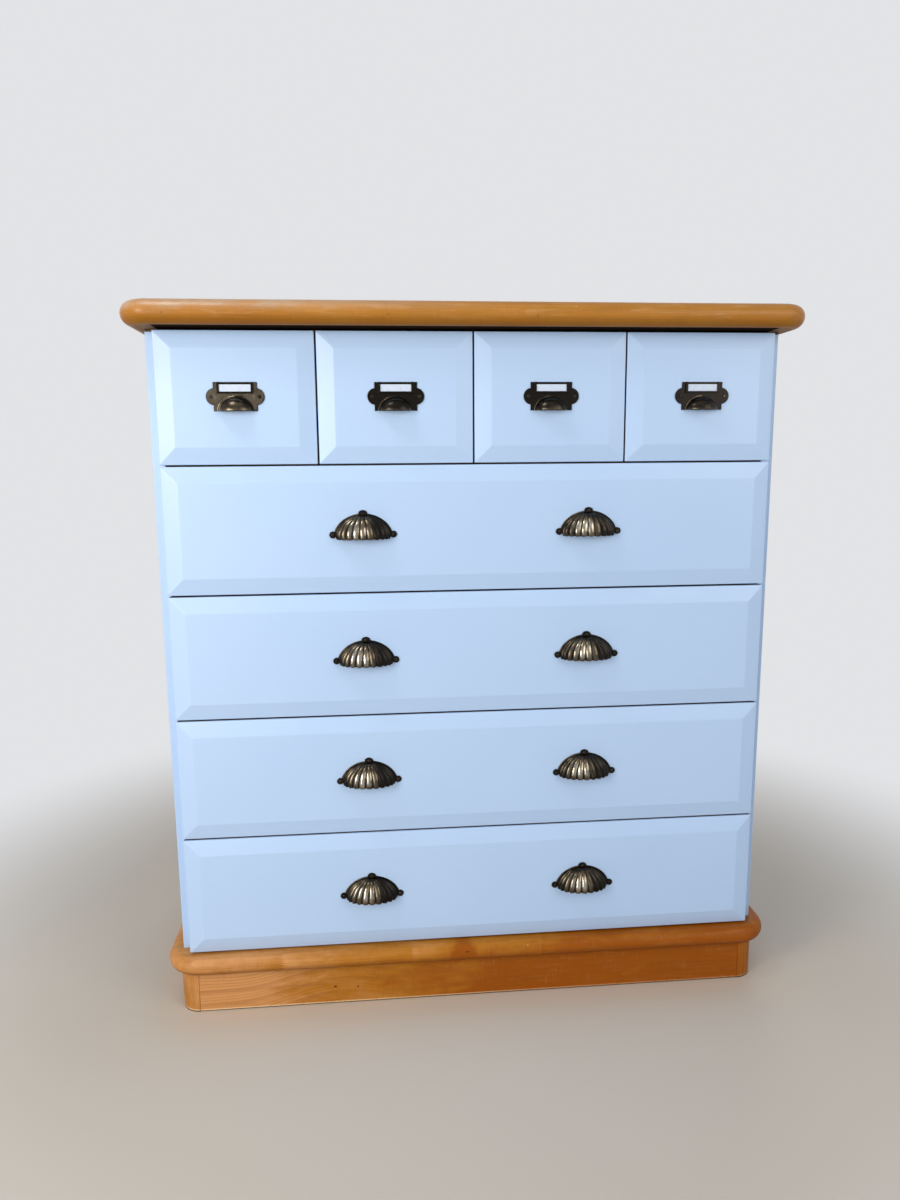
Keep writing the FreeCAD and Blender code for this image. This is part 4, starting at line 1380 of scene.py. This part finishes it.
class CHEST_OT_shell_pulls(bpy.types.Operator):
    """The fluted cup pulls, two on each wide drawer"""
    bl_idname = "chest.shell_pulls"
    bl_label = "Shell pulls"

    def execute(self, context):
        for drawer in WIDE_DRAWERS:
            pair = casting()
            for place in shell_places(drawer):
                join(pair, shell_pull(), place)
            stand_in(drawer + "_shell_pulls", pair, [antique_brass()])
        return {"FINISHED"}


class CHEST_OT_label_pulls(bpy.types.Operator):
    """The label pulls, one on each small drawer"""
    bl_idname = "chest.label_pulls"
    bl_label = "Label pulls"

    def execute(self, context):
        for drawer in SMALL_DRAWERS:
            whole = label_pull(MOST_WORN if drawer == SMALL_DRAWERS[0] else LEAST_WORN)
            x, y, z = front_middle(drawer)
            move(whole, (x, y, z + context.scene.chest_label_pulls.rise))
            stand_in(drawer + "_label_pull", whole, [antique_brass()])
        return {"FINISHED"}


class CHEST_OT_label_cards(bpy.types.Operator):
    """The blank cards in the label frames"""
    bl_idname = "chest.label_cards"
    bl_label = "Label cards"

    def execute(self, context):
        bow = context.scene.chest_label_pulls.card_bow
        for drawer in SMALL_DRAWERS:
            node = drawer + "_label_card"
            low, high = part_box(node)
            bm = filled_box(low, high)
            reach = high.x - low.x - bow
            along = edges_where(bm, lambda edge, first, second: abs(first.x - second.x) > reach)
            bmesh.ops.subdivide_edges(bm, edges=along, cuts=CARD_CUTS, use_grid_fill=True)
            middle = (low.x + high.x) / 2
            for vert in bm.verts:
                share_out = (vert.co.x - middle) / (high.x - middle)
                vert.co.y -= bow * (1 - share_out ** 2)
            stand_in(node, bm, [blank_card()])
        return {"FINISHED"}


class CHEST_OT_pull_screws(bpy.types.Operator):
    """The slotted screws that hold the pulls"""
    bl_idname = "chest.pull_screws"
    bl_label = "Pull screws"

    def execute(self, context):
        label = context.scene.chest_label_pulls
        for drawer in WIDE_DRAWERS + SMALL_DRAWERS:
            seats = []
            if drawer in WIDE_DRAWERS:
                for x, y, z in shell_places(drawer):
                    seats.append((x - LUG_REACH, y - LUG_THICKNESS, z + LUG_RISE))
                    seats.append((x + LUG_REACH, y - LUG_THICKNESS, z + LUG_RISE))
                    seats.append((x, y - LUG_THICKNESS, z + TOP_LUG_RISE))
            else:
                x, y, z = front_middle(drawer)
                for reach in (-EAR_SCREW_REACH, EAR_SCREW_REACH):
                    seats.append((x + reach, y - label.plate_thickness, z + label.rise))
            whole = casting()
            for seat in seats:
                join(whole, pull_screw(), seat)
            stand_in(drawer + "_pull_screws", whole, [antique_brass()])
        return {"FINISHED"}


class CHEST_OT_hidden_fasteners(bpy.types.Operator):
    """Steel and hardwood for the screws, pins and dowels inside the carcass"""
    bl_idname = "chest.hidden_fasteners"
    bl_label = "Hidden fasteners"

    def execute(self, context):
        finishes = {
            "runner_screws": zinc_steel(),
            "back_panel_pins": zinc_steel(),
            "carcass_dowels": bare_wood("runner", "z"),
        }
        for node, material in finishes.items():
            NODES[node].data.materials.clear()
            NODES[node].data.materials.append(material)
        return {"FINISHED"}


# Stage

# Each lamp's name, place, size and tint; its power is the setting of the same name
LAMP_TARGET = Vector((0.0, -0.2, 0.6))
LAMPS = [
    ("key", (-1.3, -1.35, 1.12), (0.5, 0.7), (1.0, 0.91, 0.78)),
    ("front", (-1.6, -2.6, 0.75), (0.7, 1.8), (0.95, 0.98, 1.0)),
    ("top", (-0.65, -0.6, 1.95), (0.4, 0.35), (1.0, 0.97, 0.93)),
    ("fill", (1.45, -1.7, 1.45), (1.3, 1.3), (1.0, 0.95, 0.88)),
    ("back", (0.9, 2.5, 1.7), (1.5, 1.2), (1.0, 0.98, 0.95)),
]
CAMERA_LENS = 25.326
CAMERA_PLACE = (-0.1454, -1.4190, 0.8416)
CAMERA_TURN = -5.071
CAMERA_TILT = -9.255
CAMERA_ROLL = -0.492
FLOOR_SEGMENTS = 64
FLOOR_SPAN = 4
FLOOR_ROUGHNESS = 0.6


def area_lamp(name, place, size, tint, power):
    """A soft rectangular lamp that looks at the chest."""
    light = bpy.data.lights.new(name, "AREA")
    light.shape = "RECTANGLE"
    light.size, light.size_y = size
    light.energy = power
    light.color = tint
    lamp = bpy.data.objects.new(name, light)
    lamp.location = place
    lamp.rotation_euler = (LAMP_TARGET - Vector(place)).to_track_quat("-Z", "Y").to_euler()
    bpy.context.scene.collection.objects.link(lamp)


def seen_directly(surface):
    """1 for the rays of the camera, of gloss and of glass, and 0 for those that light a surface."""
    rays = surface.add("ShaderNodeLightPath", {}, {})
    return rays[CAMERA_RAY].most(rays[GLOSSY_RAY]).most(rays[TRANSMISSION_RAY])


def studio_floor(look):
    """A pale floor that fades into the backdrop far from the object."""
    surface = Surface("studio_floor")
    x, y, z = surface.parts(surface.place())
    reach = (x * x + y * y).root()
    inputs = {"Base Color": look.floor[:], "Roughness": FLOOR_ROUGHNESS}
    floor = surface.add("ShaderNodeBsdfPrincipled", {}, inputs)[0]
    glow = surface.add("ShaderNodeEmission", {}, {"Color": look.backdrop[:]})[0]
    fade = reach.rise(look.floor_near, look.floor_far) * seen_directly(surface)
    both = surface.add("ShaderNodeMixShader", {}, {0: fade, 1: floor, 2: glow})[0]
    surface.add("ShaderNodeOutputMaterial", {}, {"Surface": both})
    return surface.material


class CHEST_OT_stage(bpy.types.Operator):
    """The floor, the soft light and the camera"""
    bl_idname = "chest.stage"
    bl_label = "Stage"

    def execute(self, context):
        scene = context.scene
        look = scene.chest_stage
        bm = round_sheet(FLOOR_SPAN * look.floor_far, FLOOR_SEGMENTS)
        mesh = bpy.data.meshes.new("studio_floor")
        bm.to_mesh(mesh)
        bm.free()
        mesh.materials.append(studio_floor(look))
        floor = bpy.data.objects.new("studio_floor", mesh)
        scene.collection.objects.link(floor)

        sky = Surface("studio", bpy.data.worlds)
        scene.world = sky.material
        seen = seen_directly(sky)
        inputs = {"Color": look.ambient_tint[:], "Strength": look.ambient}
        ambient = sky.add("ShaderNodeBackground", {}, inputs)[0]
        backdrop = sky.add("ShaderNodeBackground", {}, {"Color": look.backdrop[:]})[0]
        both = sky.add("ShaderNodeMixShader", {}, {0: seen, 1: ambient, 2: backdrop})[0]
        sky.add("ShaderNodeOutputWorld", {}, {"Surface": both})

        for name, place, size, tint in LAMPS:
            area_lamp(name, place, size, tint, getattr(look, name))

        lens = bpy.data.cameras.new("camera")
        lens.lens = CAMERA_LENS
        camera = bpy.data.objects.new("camera", lens)
        camera.location = CAMERA_PLACE
        turn = Matrix.Rotation(math.radians(CAMERA_TURN), 3, "Z")
        tilt = Matrix.Rotation(math.radians(90 + CAMERA_TILT), 3, "X")
        roll = Matrix.Rotation(math.radians(CAMERA_ROLL), 3, "Z")
        camera.rotation_euler = (turn @ tilt @ roll).to_euler()
        scene.collection.objects.link(camera)
        scene.camera = camera
        scene.view_settings.view_transform = "Standard"
        return {"FINISHED"}


class CHEST_PT_pieces(bpy.types.Panel):
    """The pieces of the chest, in the order in which they are made"""
    bl_idname = "CHEST_PT_pieces"
    bl_label = "Chest of drawers"
    bl_space_type = "VIEW_3D"
    bl_region_type = "UI"
    bl_category = "Chest"

    def draw(self, context):
        for operator in OPERATORS:
            self.layout.operator(operator.bl_idname)


OPERATORS = [
    CHEST_OT_top_board,
    CHEST_OT_base_board,
    CHEST_OT_plinth,
    CHEST_OT_side_panels,
    CHEST_OT_carcass_inside,
    CHEST_OT_drawer_fronts,
    CHEST_OT_drawer_boxes,
    CHEST_OT_shell_pulls,
    CHEST_OT_label_pulls,
    CHEST_OT_label_cards,
    CHEST_OT_pull_screws,
    CHEST_OT_hidden_fasteners,
    CHEST_OT_stage,
]


def register():
    for name, settings in SETTINGS.items():
        bpy.utils.register_class(settings)
        setattr(bpy.types.Scene, name, bpy.props.PointerProperty(type=settings))
    for made in OPERATORS + [CHEST_PT_pieces]:
        bpy.utils.register_class(made)


def unregister():
    for made in reversed(OPERATORS + [CHEST_PT_pieces]):
        bpy.utils.unregister_class(made)
    for name, settings in SETTINGS.items():
        delattr(bpy.types.Scene, name)
        bpy.utils.unregister_class(settings)


def main():
    register()
    bpy.ops.chest.top_board()
    bpy.ops.chest.base_board()
    bpy.ops.chest.plinth()
    bpy.ops.chest.side_panels()
    bpy.ops.chest.carcass_inside()
    bpy.ops.chest.drawer_fronts()
    bpy.ops.chest.drawer_boxes()
    bpy.ops.chest.shell_pulls()
    bpy.ops.chest.label_pulls()
    bpy.ops.chest.label_cards()
    bpy.ops.chest.pull_screws()
    bpy.ops.chest.hidden_fasteners()
    bpy.ops.chest.stage()


if __name__ == "__main__":
    main()
